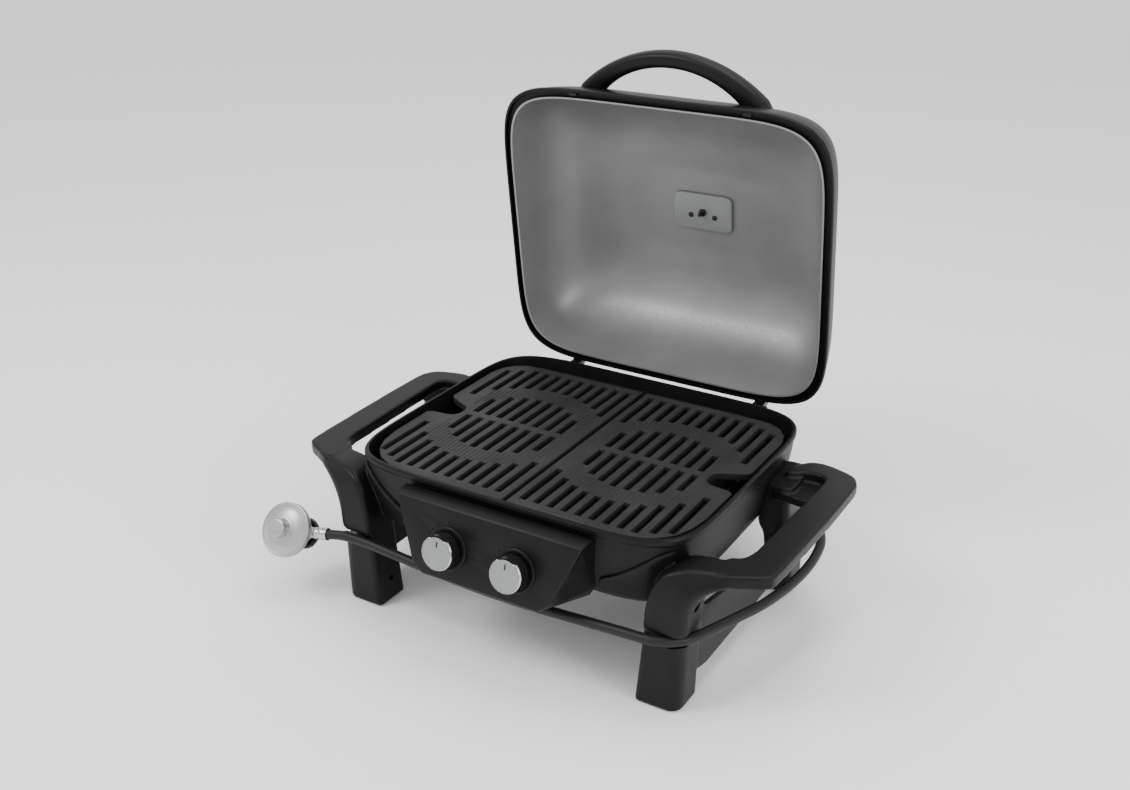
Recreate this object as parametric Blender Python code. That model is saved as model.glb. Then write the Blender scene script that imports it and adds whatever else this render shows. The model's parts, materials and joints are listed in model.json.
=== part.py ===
"""Portable two-burner gas grill on moulded side frames. Metres, +Z up.

+Y runs from the control panel to the lid's hinge, X = 0 is the middle, and the floor is at Z = 0.
The lid stands open against its stop, and the plates and grates lie in the firebox.
"""

import math

import bmesh
import bpy
from mathutils import Vector

GAP = 0.0003
ORIGIN_Y = -0.0556  # moves the model so that its box is centred on the origin

# Firebox and the rim that the lid closes on
RIM_HALF_X, RIM_HALF_Y = 0.2432, 0.2087
RIM_CENTRE_Y, RIM_Z = 0.0110, 0.2190
RIM_POWER = 6.5
RING_POINTS = 40
FLOOR_Z = 0.1155
# wall profiles as (height, distance in from the rim's outline)
FIREBOX_OUTSIDE = (
    (0.2190, 0.0015), (0.2165, 0.0), (0.2120, 0.0), (0.2085, 0.0022), (0.1910, 0.0035),
    (0.1620, 0.0080), (0.1400, 0.0130), (0.1240, 0.0200), (0.1150, 0.0300), (0.1115, 0.0440),
)
FIREBOX_INSIDE = (
    (0.2190, 0.0045), (0.2030, 0.0060), (0.1880, 0.0085),
    (0.1620, 0.0120), (0.1400, 0.0172), (0.1260, 0.0240), (0.1185, 0.0330), (FLOOR_Z, 0.0460),
)

# Lid, drawn closed about its hinge pin: (height over its rim, distance in from its outline)
LID_HALF_X, LID_HALF_Y = 0.2472, 0.2127
LID_RIM_Z = 0.2172
PIN_Y, PIN_Z, PIN_RADIUS = 0.2300, 0.2000, 0.0030
LID_OPEN_ANGLE = math.radians(82.4)
LID_DEPTH = 0.1450
LID_OUTSIDE = (
    (0.0, 0.0010), (0.0015, 0.0), (0.0060, 0.0), (0.0100, 0.0022), (0.0300, 0.0060), (0.0600, 0.0150),
    (0.0900, 0.0290), (0.1150, 0.0490), (0.1310, 0.0740), (0.1400, 0.1040), (LID_DEPTH, 0.1500),
)
LID_INSIDE = (
    (0.0, 0.0033), (0.0060, 0.0033), (0.0060, 0.0112), (0.0, 0.0112), (0.0, 0.0135), (0.0300, 0.0155),
    (0.0600, 0.0200), (0.0880, 0.0325), (0.1125, 0.0520), (0.1280, 0.0765), (0.1368, 0.1055), (0.1416,
                                                                                               0.1510),
)
HANDLE_ARC_RADIUS, HANDLE_HALF_SPAN = 0.1720, 0.1250
HANDLE_APEX, HANDLE_HEIGHT = 0.4640, 0.0500  # from the lid's rear edge, and above its rim

# Side frames: front leg as (inner x, inner z, outer x, outer z, front y, rear y)
FRONT_LEG = (
    (0.1910, 0.0015, 0.2500, 0.0015, -0.1980, -0.1450),
    (0.1990, 0.0880, 0.2520, 0.0880, -0.1980, -0.1460),
    (0.2005, 0.1070, 0.2530, 0.1070, -0.1980, -0.1460),
    (0.2010, 0.1110, 0.2540, 0.1110, -0.2010, -0.1460),
    (0.2030, 0.1400, 0.2560, 0.1350, -0.2010, -0.1460),
    (0.2090, 0.1650, 0.2620, 0.1530, -0.1990, -0.1460),
    (0.2210, 0.1830, 0.2720, 0.1660, -0.1950, -0.1450),
    (0.2400, 0.1920, 0.2860, 0.1740, -0.1880, -0.1430),
    (0.2640, 0.1940, 0.3000, 0.1780, -0.1800, -0.1400),
    (0.3000, 0.1925, 0.3120, 0.1796, -0.1690, -0.1340),
)
REAR_LEG = (
    (0.2260, 0.0015, 0.2660, 0.0015, 0.1120, 0.1500),
    (0.2290, 0.0900, 0.2670, 0.0900, 0.0900, 0.1500),
    (0.2240, 0.1150, 0.2675, 0.1150, 0.0820, 0.1500),
    (0.2240, 0.1400, 0.2680, 0.1400, 0.0740, 0.1500),
    (0.2300, 0.1640, 0.2700, 0.1640, 0.0680, 0.1480),
    (0.2360, 0.1860, 0.2740, 0.1860, 0.0660, 0.1440),
)
HANDLE_TOP_Z, HANDLE_THICKNESS = 0.1940, 0.0160
SIDE_HANDLE = (
    (0.2850, -0.1745), (0.3180, -0.1620), (0.3320, -0.1530), (0.3390, -0.1380), (0.3420, -0.0600),
    (0.3440, 0.0200), (0.3440, 0.1000), (0.3410, 0.1160), (0.3320, 0.1300), (0.3080, 0.1400),
    (0.2850, 0.1440), (0.2680, 0.1380), (0.2570, 0.1220), (0.2530, 0.0980), (0.2640, 0.1000),
    (0.2760, 0.1080), (0.2930, 0.1090), (0.3020, 0.1030), (0.3050, 0.0900), (0.3030, 0.0300),
    (0.2990, -0.0600), (0.2970, -0.1050), (0.2900, -0.1260), (0.2760, -0.1370),
)
REAR_WEB = ((0.2500, 0.0640), (0.2960, 0.0580), (0.3080, 0.0660), (0.3080, 0.1140), (0.2500, 0.1160))
REAR_WEB_Z = (0.1680, 0.1800)
SIDE_PANEL = (
    (-0.1560, 0.0460), (-0.1420, 0.0340), (-0.1180, 0.0290), (0.0900, 0.0290), (0.1060, 0.0330), (0.1180,
                                                                                                  0.0460),
    (0.1180, 0.1060), (0.0900, 0.0980), (-0.0480, 0.1040), (-0.1300, 0.1180), (-0.1560, 0.1340),
)
SIDE_PANEL_X = (0.2425, 0.2505)
FLANGE_FROM, FLANGE_TO = math.radians(-80), math.radians(-38)
FRAME_SCREW_Z = 0.1410
FRAME_SCREWS = (("front", -0.1720, 0.2570, 0.2050), ("rear", 0.1240, 0.2680, 0.2315))
FOOT_PADS = (("front", 0.2200, -0.1715), ("rear", 0.2460, 0.1310))
FOOT_PAD_SIZE = (0.0300, 0.0240, 0.0065)

# Control panel and the knobs, square to its sloping face
FACE_TOP = Vector((0.0, -0.2227, 0.2060))
FACE_SLOPE = math.radians(13.4)
FACE_OUT = Vector((0.0, -math.cos(FACE_SLOPE), math.sin(FACE_SLOPE)))
FACE_DOWN = Vector((0.0, -math.sin(FACE_SLOPE), -math.cos(FACE_SLOPE)))
KNOB_X, KNOB_DROP = 0.0490, 0.0520
KNOB_RADIUS, KNOB_DEPTH, KNOB_STANDOFF = 0.0225, 0.0190, 0.0052
KNOB_FLUTES = 12

# Burners and gas line
BURNER_Z, BURNER_PIPE, BURNER_CENTRE_X, BURNER_CENTRE_Y = 0.1400, 0.0068, 0.0990, -0.0120
BURNER_HALF_X, BURNER_HALF_Y, BURNER_BEND = 0.0490, 0.0780, 0.0300
MANIFOLD_Y, MANIFOLD_Z, MANIFOLD_RADIUS = -0.2140, 0.1745, 0.0060
FEED_RADIUS, FEED_X = 0.0045, 0.0760

# Cooking surfaces
GRATE_FRONT, GRATE_REAR = -0.1835, 0.1840
GRATE_INNER_X, GRATE_OUTER_X = 0.0035, 0.2305
GRATE_BOTTOM_Z, GRATE_THICKNESS = 0.2034, 0.0100
SLOT_FIRST_X, SLOT_PITCH, SLOT_COUNT, SLOT_WIDTH = 0.0184, 0.0192, 11, 0.0100
RING_CENTRE_X, RING_OUTER, RING_INNER = 0.1050, 0.1180, 0.0860
GRIDDLE_BOTTOM_Z, GRIDDLE_HEIGHT = 0.1694, 0.0180
GRIDDLE_HALF = (
    (0.0, -0.1720), (0.1160, -0.1720), (0.1290, -0.1680), (0.1400, -0.1490), (0.1530, -0.1400),
    (0.1760, -0.1360), (0.1960, -0.1220), (0.2060, -0.0980), (0.2070, -0.0700), (0.2070, 0.1120),
    (0.2030, 0.1340), (0.1880, 0.1500), (0.1640, 0.1560), (0.0, 0.1560),
)

# Hose: from the inlet elbow round the rear and front legs to the regulator
HOSE_RADIUS = 0.0065
ELBOW = Vector((0.1710, 0.1615, 0.1012))
HOSE_ROUTE = (
    (0.1835, 0.1615, 0.1012), (0.2050, 0.1618, 0.1008), (0.2350, 0.1640, 0.0990),
    (0.2620, 0.1625, 0.0965), (0.2850, 0.1480, 0.0935), (0.3000, 0.1200, 0.0905),
    (0.3060, 0.0800, 0.0880), (0.3055, 0.0350, 0.0870), (0.3000, -0.0100, 0.0875),
    (0.2910, -0.0550, 0.0890), (0.2790, -0.0950, 0.0915), (0.2680, -0.1320, 0.0945),
    (0.2612, -0.1540, 0.0965), (0.2559, -0.1700, 0.0980), (0.2497, -0.1822, 0.0990),
    (0.2400, -0.1930, 0.0997), (0.2275, -0.2013, 0.1002), (0.2120, -0.2059, 0.1004),
    (0.1800, -0.2068, 0.0995), (0.1400, -0.2070, 0.0975), (0.0900, -0.2075, 0.0950),
    (0.0400, -0.2080, 0.0932), (-0.0300, -0.2080, 0.0930), (-0.0900, -0.2070, 0.0948),
    (-0.1400, -0.2060, 0.0972), (-0.1800, -0.2050, 0.0995), (-0.2120, -0.2045, 0.1008),
    (-0.2400, -0.2055, 0.1005), (-0.2640, -0.2090, 0.0975),
)
HOSE_GROOVE = slice(10, 20)  # the stretch of the route that runs in each front leg's groove
GROOVE_RADIUS = 0.0088
HOSE_POINTS = 56
REGULATOR_FACE = Vector((0.1200, -0.8200, 0.5600)).normalized()
REGULATOR_RADIUS, REGULATOR_NECK, NUT_RADIUS = 0.0370, 0.0070, 0.0180


def material(name, colour, roughness, metallic=0.0):
    made = bpy.data.materials.new(name)
    made.use_nodes = True
    shader = made.node_tree.nodes["Principled BSDF"]
    shader.inputs["Base Color"].default_value = (*colour, 1.0)
    shader.inputs["Roughness"].default_value = roughness
    shader.inputs["Metallic"].default_value = metallic
    made.diffuse_color = (*colour, 1.0)
    return made


def empty(name, location, parent=None, rotation=0.0):
    """An axis that pieces hang from, turned about X."""
    made = bpy.data.objects.new(name, None)
    made.location = location
    made.rotation_euler = (rotation, 0.0, 0.0)
    made.parent = parent
    bpy.context.scene.collection.objects.link(made)
    return made


def add_mesh(name, verts, faces, finish, parent):
    """One closed solid with its faces pointing out."""
    mesh = bpy.data.meshes.new(name)
    shape = bmesh.new()
    made = [shape.verts.new(v) for v in verts]
    for face in faces:
        shape.faces.new([made[i] for i in face])
    bmesh.ops.recalc_face_normals(shape, faces=shape.faces)
    shape.to_mesh(mesh)
    shape.free()
    mesh.materials.append(finish)
    mesh.shade_smooth()
    mesh.set_sharp_from_angle(angle=math.radians(35))
    made_object = bpy.data.objects.new(name, mesh)
    made_object.parent = parent
    bpy.context.scene.collection.objects.link(made_object)
    return made_object


def loft(name, rings, finish, parent, closed=False):
    """Skin over equal rings of points, capped at both ends or joined round to the first."""
    count = len(rings[0])
    verts = [point for ring in rings for point in ring]
    faces = []
    for a in range(len(rings) if closed else len(rings) - 1):
        b = (a + 1) % len(rings)
        for i in range(count):
            j = (i + 1) % count
            faces.append((a * count + i, a * count + j, b * count + j, b * count + i))
    if not closed:
        faces.append(tuple(range(count)))
        faces.append(tuple((len(rings) - 1) * count + i for i in range(count)))
    return add_mesh(name, verts, faces, finish, parent)


def guide(tool):
    tool.hide_render = True
    tool.display_type = "WIRE"
    return tool


def combine(target, tool, operation="DIFFERENCE"):
    guide(tool)
    modifier = target.modifiers.new(tool.name, "BOOLEAN")
    modifier.operation = operation
    modifier.object = tool


def basis(direction):
    """Two unit vectors square to a direction and to each other."""
    across = Vector((1.0, 0.0, 0.0)) if abs(direction.x) < 0.8 else Vector((0.0, 1.0, 0.0))
    first = (across - direction * across.dot(direction)).normalized()
    return first, direction.cross(first)


def turned(name, start, direction, profile, finish, parent, sides=20, flutes=0, closed=False):
    """A turned solid: profile holds (distance along the direction, radius); flutes nick its sides."""
    direction = Vector(direction).normalized()
    first, second = basis(direction)
    rings = []
    for along, radius in profile:
        ring = []
        for i in range(sides):
            angle = 2 * math.pi * i / sides
            r = radius * (0.965 if flutes and i % (sides // flutes) == 0 else 1.0)
            ring.append(Vector(start) + direction * along + (first * math.cos(angle) + second * math.sin(angle)) * r)
        rings.append(ring)
    return loft(name, rings, finish, parent, closed)


def rod(name, start, end, radius, finish, parent, sides=16):
    span = Vector(end) - Vector(start)
    return turned(name, start, span, ((0.0, radius), (span.length, radius)), finish, parent, sides)


def box(name, low, high, finish, parent):
    rings = [[(x, y, z) for x, y in ((low[0], low[1]), (high[0], low[1]), (high[0], high[1]), (low[0],
                                                                                               high[1]))]
             for z in (low[2], high[2])]
    return loft(name, rings, finish, parent)


def prism(name, outline, low, high, finish, parent, axis="Z", chamfer=0.0):
    """An outline extruded between two heights, with its edges chamfered."""
    def place(point, height):
        a, b = point
        return (a, b, height) if axis == "Z" else (height, a, b)

    if not chamfer:
        return loft(name, [[place(p, low) for p in outline], [place(p, high) for p in outline]], finish,
                    parent)
    small = offset_outline(outline, chamfer)
    rings = [[place(p, low) for p in small], [place(p, low + chamfer) for p in outline],
             [place(p, high - chamfer) for p in outline], [place(p, high) for p in small]]
    return loft(name, rings, finish, parent)


def offset_outline(outline, inset):
    """The outline moved in by a distance, square to its edges."""
    area = sum(a[0] * b[1] - b[0] * a[1] for a, b in zip(outline, outline[1:] + outline[:1]))
    side = 1.0 if area > 0 else -1.0
    moved = []
    for i, point in enumerate(outline):
        before, after = Vector(outline[i - 1]), Vector(outline[(i + 1) % len(outline)])
        here = Vector(point)
        a, b = (here - before).normalized(), (after - here).normalized()
        normal = Vector((-(a.y + b.y), a.x + b.x)) * side
        normal = normal.normalized() / max(0.5, math.sqrt(max(0.0, (1 + a.dot(b)) / 2)))
        moved.append(tuple(here + normal * inset))
    return moved


def rounded(half_x, half_y, centre_y, z, power=RIM_POWER, count=RING_POINTS, centre_x=0.0):
    """A ring of points on a rounded rectangle."""
    ring = []
    for i in range(count):
        angle = 2 * math.pi * (i + 0.5) / count
        c, s = math.cos(angle), math.sin(angle)
        x = math.copysign(abs(c) ** (2 / power), c) * half_x
        y = math.copysign(abs(s) ** (2 / power), s) * half_y
        ring.append(Vector((centre_x + x, centre_y + y, z)))
    return ring


def sweep(name, points, radius, finish, parent, sides=10, closed=False):
    """A round bar along a line of points."""
    points = [Vector(p) for p in points]
    count = len(points)
    rings = []
    normal = None
    for i, point in enumerate(points):
        before = points[i - 1] if closed or i else point
        after = points[(i + 1) % count] if closed or i < count - 1 else point
        along = (after - before).normalized()
        normal = basis(along)[0] if normal is None else (normal - along * normal.dot(along)).normalized()
        second = along.cross(normal)
        rings.append([point + (normal * math.cos(a) + second * math.sin(a)) * radius
                      for a in (2 * math.pi * k / sides for k in range(sides))])
    return loft(name, rings, finish, parent, closed)


def bend_path(corners, radius, steps=4):
    """Straight runs between corners, with each inner corner rounded to a radius."""
    corners = [Vector(c) for c in corners]
    path = [corners[0]]
    for before, corner, after in zip(corners, corners[1:], corners[2:]):
        a, b = (before - corner).normalized(), (after - corner).normalized()
        half = a.angle(b) / 2
        reach = radius / math.tan(half)
        centre = corner + (a + b).normalized() * (radius / math.sin(half))
        first, last = corner + a * reach - centre, corner + b * reach - centre
        for k in range(steps + 1):
            path.append(centre + first.lerp(last, k / steps).normalized() * radius)
    path.append(corners[-1])
    return path


def smooth_route(points, count):
    """Points evenly along a Catmull-Rom curve through a route."""
    points = [Vector(p) for p in points]
    ends = [points[0] * 2 - points[1], *points, points[-1] * 2 - points[-2]]
    fine = []
    for a, b, c, d in zip(ends, ends[1:], ends[2:], ends[3:]):
        for k in range(16):
            t = k / 16
            fine.append(0.5 * (2 * b + (c - a) * t + (2 * a - 5 * b + 4 * c - d) * t * t
                               + (3 * b - a - 3 * c + d) * t * t * t))
    fine.append(points[-1])
    lengths = [0.0]
    for a, b in zip(fine, fine[1:]):
        lengths.append(lengths[-1] + (b - a).length)
    even, at = [], 0
    for k in range(count):
        want = lengths[-1] * k / (count - 1)
        while at < len(fine) - 2 and lengths[at + 1] < want:
            at += 1
        share = (want - lengths[at]) / max(1e-9, lengths[at + 1] - lengths[at])
        even.append(fine[at].lerp(fine[at + 1], min(1.0, share)))
    return even


def inset_at(profile, z):
    """How far in a wall stands at a height, from its profile."""
    for (z0, in0), (z1, in1) in zip(profile, profile[1:]):
        if min(z0, z1) <= z <= max(z0, z1) and z0 != z1:
            return in0 + (in1 - in0) * (z - z0) / (z1 - z0)
    return profile[-1][1] if z < profile[-1][0] else profile[0][1]


def firebox_ring(z, inset, count=RING_POINTS):
    return rounded(RIM_HALF_X - inset, RIM_HALF_Y - inset, RIM_CENTRE_Y, z, count=count)


def firebox_clearance(name, parent):
    """The firebox's outer shape, a little larger, for cutting what stands against it."""
    rings = [firebox_ring(z, inset - 0.0006) for z, inset in FIREBOX_OUTSIDE[1:]]
    rings[0] = firebox_ring(RIM_Z + 0.0020, -0.0006)
    rings[-1] = firebox_ring(FIREBOX_OUTSIDE[-1][0] - 0.0006, FIREBOX_OUTSIDE[-1][1])
    return guide(loft(name, rings, METAL, parent))


def build_firebox(parent):
    rings = [firebox_ring(z, inset) for z, inset in reversed(FIREBOX_OUTSIDE)]
    rings += [firebox_ring(z, inset) for z, inset in FIREBOX_INSIDE]
    firebox = loft("firebox", rings, ALUMINIUM, parent)
    rib = box("rib_guide", (-0.0045, -0.1500, 0.1135), (0.0045, 0.1640, 0.1290), ALUMINIUM, parent)
    combine(firebox, rib, "UNION")
    for side in (-1, 1):
        mouth = rod(f"burner_hole_{side}", (side * 0.0500, -0.2300, BURNER_Z), (side * 0.0500, -0.1500,
                                                                                BURNER_Z),
                    0.0095, METAL, parent)
        combine(firebox, mouth)
    drain = rod("drain_hole", (0.0300, 0.0200, 0.0950), (0.0300, 0.0200, 0.1250), 0.0090, METAL, parent)
    combine(firebox, drain)
    return firebox


def mirrored(points, side):
    return [(side * p[0], *p[1:]) for p in points]


def leg(name, stations, side, parent):
    """A leg through stations that turn from upright to lying, its outer front corner rounded wider."""
    rings = []
    for inner_x, inner_z, outer_x, outer_z, front, rear in stations:
        inner, outer = Vector((side * inner_x, 0.0, inner_z)), Vector((side * outer_x, 0.0, outer_z))
        across = outer - inner
        wide = min(0.0170, across.length * 0.55, (rear - front) * 0.55)
        small = min(0.0060, across.length * 0.25)
        ring = []
        for radius, at_outer, at_front in ((wide, 1, 1), (small, 1, 0), (small, 0, 0), (small, 0, 1)):
            steps = 4 if radius == wide else 1
            corner_x = 1.0 - radius / across.length if at_outer else radius / across.length
            corner_y = front + radius if at_front else rear - radius
            for k in range(steps + 1):
                turn = math.pi / 2 * k / steps
                toward_x, toward_y = ((math.sin(turn), math.cos(turn)) if at_outer == at_front
                                      else (math.cos(turn), math.sin(turn)))
                share = corner_x + (1 if at_outer else -1) * toward_x * radius / across.length
                y = corner_y + (-1 if at_front else 1) * toward_y * radius
                point = inner + across * share
                ring.append(Vector((point.x, y, point.z)))
        rings.append(ring)
    return loft(name, rings, PLASTIC, parent)


def frame_flange(name, side, parent):
    """A thin fin that hugs the firebox's front corner and rises towards its rim."""
    rings = []
    steps = 10
    for k in range(steps + 1):
        share = k / steps
        angle = FLANGE_FROM + (FLANGE_TO - FLANGE_FROM) * share
        top = 0.1500 + 0.0540 * math.sin(share * math.pi / 2)
        ring = []
        for z, out in ((0.1270, -0.0020), (0.1270, 0.0042), (top, 0.0042), (top, -0.0020)):
            reach = inset_at(FIREBOX_OUTSIDE, z) - out
            c, s = math.cos(angle), math.sin(angle)
            x = math.copysign(abs(c) ** (2 / RIM_POWER), c) * (RIM_HALF_X - reach)
            y = RIM_CENTRE_Y + math.copysign(abs(s) ** (2 / RIM_POWER), s) * (RIM_HALF_Y - reach)
            ring.append(Vector((side * x, y, z)))
        rings.append(ring)
    return loft(name, rings, PLASTIC, parent)


def build_side_frame(word, side, parent, clearance):
    frame = leg(f"{word}_side_frame", FRONT_LEG, side, parent)
    handle = prism(f"{word}_handle_guide", mirrored(SIDE_HANDLE, side), HANDLE_TOP_Z - HANDLE_THICKNESS,
                   HANDLE_TOP_Z + 0.0001, PLASTIC, parent, chamfer=0.0030)
    rear = leg(f"{word}_rear_leg_guide", REAR_LEG, side, parent)
    web = prism(f"{word}_web_guide", mirrored(REAR_WEB, side), *REAR_WEB_Z, PLASTIC, parent)
    xs = sorted(side * x for x in SIDE_PANEL_X)
    panel = prism(f"{word}_panel_guide", SIDE_PANEL, *xs, PLASTIC, parent, axis="X")
    for tool in (handle, rear, web, panel, frame_flange(f"{word}_flange_guide", side, parent)):
        combine(frame, tool, "UNION")
    combine(frame, clearance)
    groove = sweep(f"{word}_groove_guide", smooth_route(mirrored(HOSE_ROUTE[HOSE_GROOVE], side), 16),
                   GROOVE_RADIUS,
                   METAL, parent, sides=10)
    combine(frame, groove)
    for place, y, outer, inner in FRAME_SCREWS:
        hole = turned(f"{word}_{place}_screw_hole", (side * 0.2750, y, FRAME_SCREW_Z), (-side, 0, 0),
                      ((0.0, 0.0072), (0.2750 - outer + 0.0090, 0.0072), (0.2750 - outer + 0.0091,
                                                                          0.0032),
                       (0.0900, 0.0032)), METAL, parent, 16)
        combine(frame, hole)
    for place, x, y in FOOT_PADS:
        sx, sy, sz = FOOT_PAD_SIZE
        pocket = box(f"{word}_{place}_pad_pocket", (side * x - sx / 2 - GAP, y - sy / 2 - GAP, -0.0100),
                     (side * x + sx / 2 + GAP, y + sy / 2 + GAP, sz + GAP), METAL, parent)
        combine(frame, pocket)
    tie = rod(f"{word}_tie_hole", (side * 0.1800, -0.1700, 0.0320), (side * 0.2050, -0.1700, 0.0320),
              0.0040,
              METAL, parent, 12)
    combine(frame, tie)
    for place, y, outer, inner in FRAME_SCREWS:
        head = outer - 0.0086
        turned(f"{word}_{place}_frame_screw", (side * head, y, FRAME_SCREW_Z), (-side, 0, 0),
               ((-0.0045, 0.0030), (-0.0045, 0.0052), (-0.0040, 0.0060), (-0.0003, 0.0060), (-0.0003,
                                                                                             0.0028),
                (head - inner, 0.0028)), STEEL, parent, 12)
    for place, x, y in FOOT_PADS:
        sx, sy, sz = FOOT_PAD_SIZE
        box(f"{word}_{place}_foot_pad", (side * x - sx / 2, y - sy / 2, 0.0), (side * x + sx / 2,
                                                                               y + sy / 2, sz),
            RUBBER, parent)


def face_point(x, down, out):
    """A point given by its place on the control panel's face."""
    return Vector((x, 0.0, 0.0)) + FACE_TOP + FACE_DOWN * down + FACE_OUT * out


def panel_ring(inset, out, grow=0.0):
    """The control panel's outline, parallel to its face at a distance out from it."""
    half = [(0.1338 + grow, 0.0), (0.1000 + grow, 0.0815), (0.0840 + grow, 0.0940)]
    outline = [*half, *[(-x, d) for x, d in reversed(half)]]
    return [face_point(x, d, out) for x, d in (offset_outline(outline, inset) if inset else outline)]


def build_control_panel(parent, clearance):
    wall = 0.0030

    def back_ring(inset, y_top, y_low):
        corners = [(0.1345, 0.2060), (0.1280, 0.1300), (0.1180, 0.1135)]
        corners = [*corners, *[(-x, z) for x, z in reversed(corners)]]
        corners = offset_outline(corners, inset) if inset else corners
        return [Vector((x, y_low + (y_top - y_low) * (z - 0.1135) / 0.0925, z)) for x, z in corners]

    rings = [panel_ring(0.0022, 0.0), panel_ring(0.0, -0.0022), back_ring(0.0, -0.1992, -0.1770),
             back_ring(wall, -0.1992, -0.1770), panel_ring(wall, -wall - 0.0022)]
    panel = loft("control_panel", rings, PLASTIC, parent)
    notch = box("feed_notch", (FEED_X - 0.0075, -0.2230, 0.1000), (FEED_X + 0.0075, -0.1600, 0.1300),
                METAL, parent)
    combine(panel, notch)
    combine(panel, clearance)
    for side in (-1, 1):
        hole = rod(f"stem_hole_{side}", face_point(side * KNOB_X, KNOB_DROP, -0.0120),
                   face_point(side * KNOB_X, KNOB_DROP, 0.0100), 0.0060, METAL, parent, 14)
        combine(panel, hole)


def build_knob(word, side, root):
    centre = face_point(side * KNOB_X, KNOB_DROP, 0.0)
    turned(f"{word}_knob_bezel", centre + FACE_OUT * GAP, FACE_OUT,
           ((0.0, 0.0085), (0.0, 0.0280), (0.0018, 0.0262), (0.0018, 0.0085)), GLOSS, root, 24,
           closed=True)
    turned(f"{word}_valve_stem", centre, FACE_OUT,
           ((-0.0120, 0.0035), (0.0140, 0.0035)), STEEL, empty(f"{word}_stem_axis", (0, 0, 0), root), 12)
    back, front = KNOB_STANDOFF, KNOB_STANDOFF + KNOB_DEPTH
    turned(f"{word}_knob", centre, FACE_OUT,
           ((back + 0.0100, 0.0038), (back, 0.0038), (back, KNOB_RADIUS - 0.0006), (back + 0.0012,
                                                                                    KNOB_RADIUS),
            (front - 0.0016, KNOB_RADIUS - 0.0008), (front, KNOB_RADIUS - 0.0022)), CHROME, root,
           KNOB_FLUTES * 2, flutes=KNOB_FLUTES)
    body = turned(f"{word}_gas_valve", centre - FACE_OUT * 0.0110, -FACE_OUT,
                  ((0.0065, 0.0038), (0.0, 0.0038), (0.0, 0.0100), (0.0180, 0.0100), (0.0180, 0.0040)),
                  BRASS, root, 12)
    nozzle = rod(f"{word}_nozzle_guide", (side * 0.0500, -0.2120, BURNER_Z), (side * 0.0500, -0.2022,
                                                                              BURNER_Z),
                 0.0045, BRASS, root, 12)
    neck = rod(f"{word}_neck_guide", (side * KNOB_X, MANIFOLD_Y, 0.1500),
               (side * KNOB_X, MANIFOLD_Y, MANIFOLD_Z - MANIFOLD_RADIUS - GAP), 0.0050, BRASS, root, 12)
    combine(body, nozzle, "UNION")
    combine(body, neck, "UNION")


def build_burner(word, side, parent):
    x, y, z = side * BURNER_CENTRE_X, BURNER_CENTRE_Y, BURNER_Z
    loop = []
    for sx, sy, start in ((1, 1, 0), (-1, 1, 90), (-1, -1, 180), (1, -1, 270)):
        for k in range(5):
            angle = math.radians(start + 90 * k / 4)
            loop.append((x + sx * (BURNER_HALF_X - BURNER_BEND) + BURNER_BEND * math.cos(angle),
                         y + sy * (BURNER_HALF_Y - BURNER_BEND) + BURNER_BEND * math.sin(angle), z))
    burner = sweep(f"{word}_burner", loop, BURNER_PIPE, STAINLESS, parent, sides=8, closed=True)
    venturi = turned(f"{word}_venturi_guide", (side * 0.0500, -0.2005, z), (0, 1, 0),
                     ((0.0, 0.0074), (0.0300, 0.0074), (0.0450, 0.0062), (0.1400, 0.0062)), STAINLESS,
                     parent, 12)
    combine(burner, venturi, "UNION")
    foot = box(f"{word}_burner_foot_guide", (x - 0.0080, y + BURNER_HALF_Y - 0.0020, FLOOR_Z + 0.0004),
               (x + 0.0080, y + BURNER_HALF_Y + 0.0020, z), STAINLESS, parent)
    combine(burner, foot, "UNION")


def build_burner_fittings(parent):
    for word, side in SIDES:
        build_burner(word, side, parent)
        turned(f"{word}_igniter", (side * 0.0300, -0.0780, FLOOR_Z + GAP), (0, 0, 1),
               ((0.0, 0.0060), (0.0040, 0.0060), (0.0045, 0.0036), (0.0240, 0.0036), (0.0260, 0.0012),
                (0.0330, 0.0012)),
               CERAMIC, parent, 12)
        shelf = GRIDDLE_BOTTOM_Z - GAP
        outline = ((0.2030, 0.1179), (0.2055, 0.1179), (0.2055, shelf - 0.0025), (0.2110, shelf - 0.0025),
                   (0.2110, GRATE_BOTTOM_Z - GAP), (0.2085, GRATE_BOTTOM_Z - GAP), (0.2085, shelf),
                   (0.1950, shelf),
                   (0.1950, shelf - 0.0025), (0.2030, shelf - 0.0025))
        loft(f"{word}_front_post", [[(side * x, y, z) for x, z in outline] for y in (-0.1000, -0.0780)],
             METAL, parent)
        floor = FLOOR_Z + GAP
        outline = ((0.1280, floor), (0.1430, floor), (0.1430, shelf), (0.1330, shelf), (0.1330,
                                                                                        shelf - 0.0025),
                   (0.1405, shelf - 0.0025), (0.1405, floor + 0.0020), (0.1280, floor + 0.0020))
        loft(f"{word}_rear_post", [[(x, y, z) for y, z in outline] for x in (side * 0.1440,
                                                                             side * 0.1600)], METAL,
             parent)


def build_grate_rests(parent):
    """Bars across the firebox's front and rear walls that carry the grates' ends."""
    for place, near, far in (("front", -0.1880, -0.1795), ("rear", 0.1760, 0.2100)):
        box(f"{place}_grate_rest", (-0.1500, near, GRATE_BOTTOM_Z - 0.0050), (0.1500, far,
                                                                              GRATE_BOTTOM_Z - GAP),
            METAL, parent)


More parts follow.
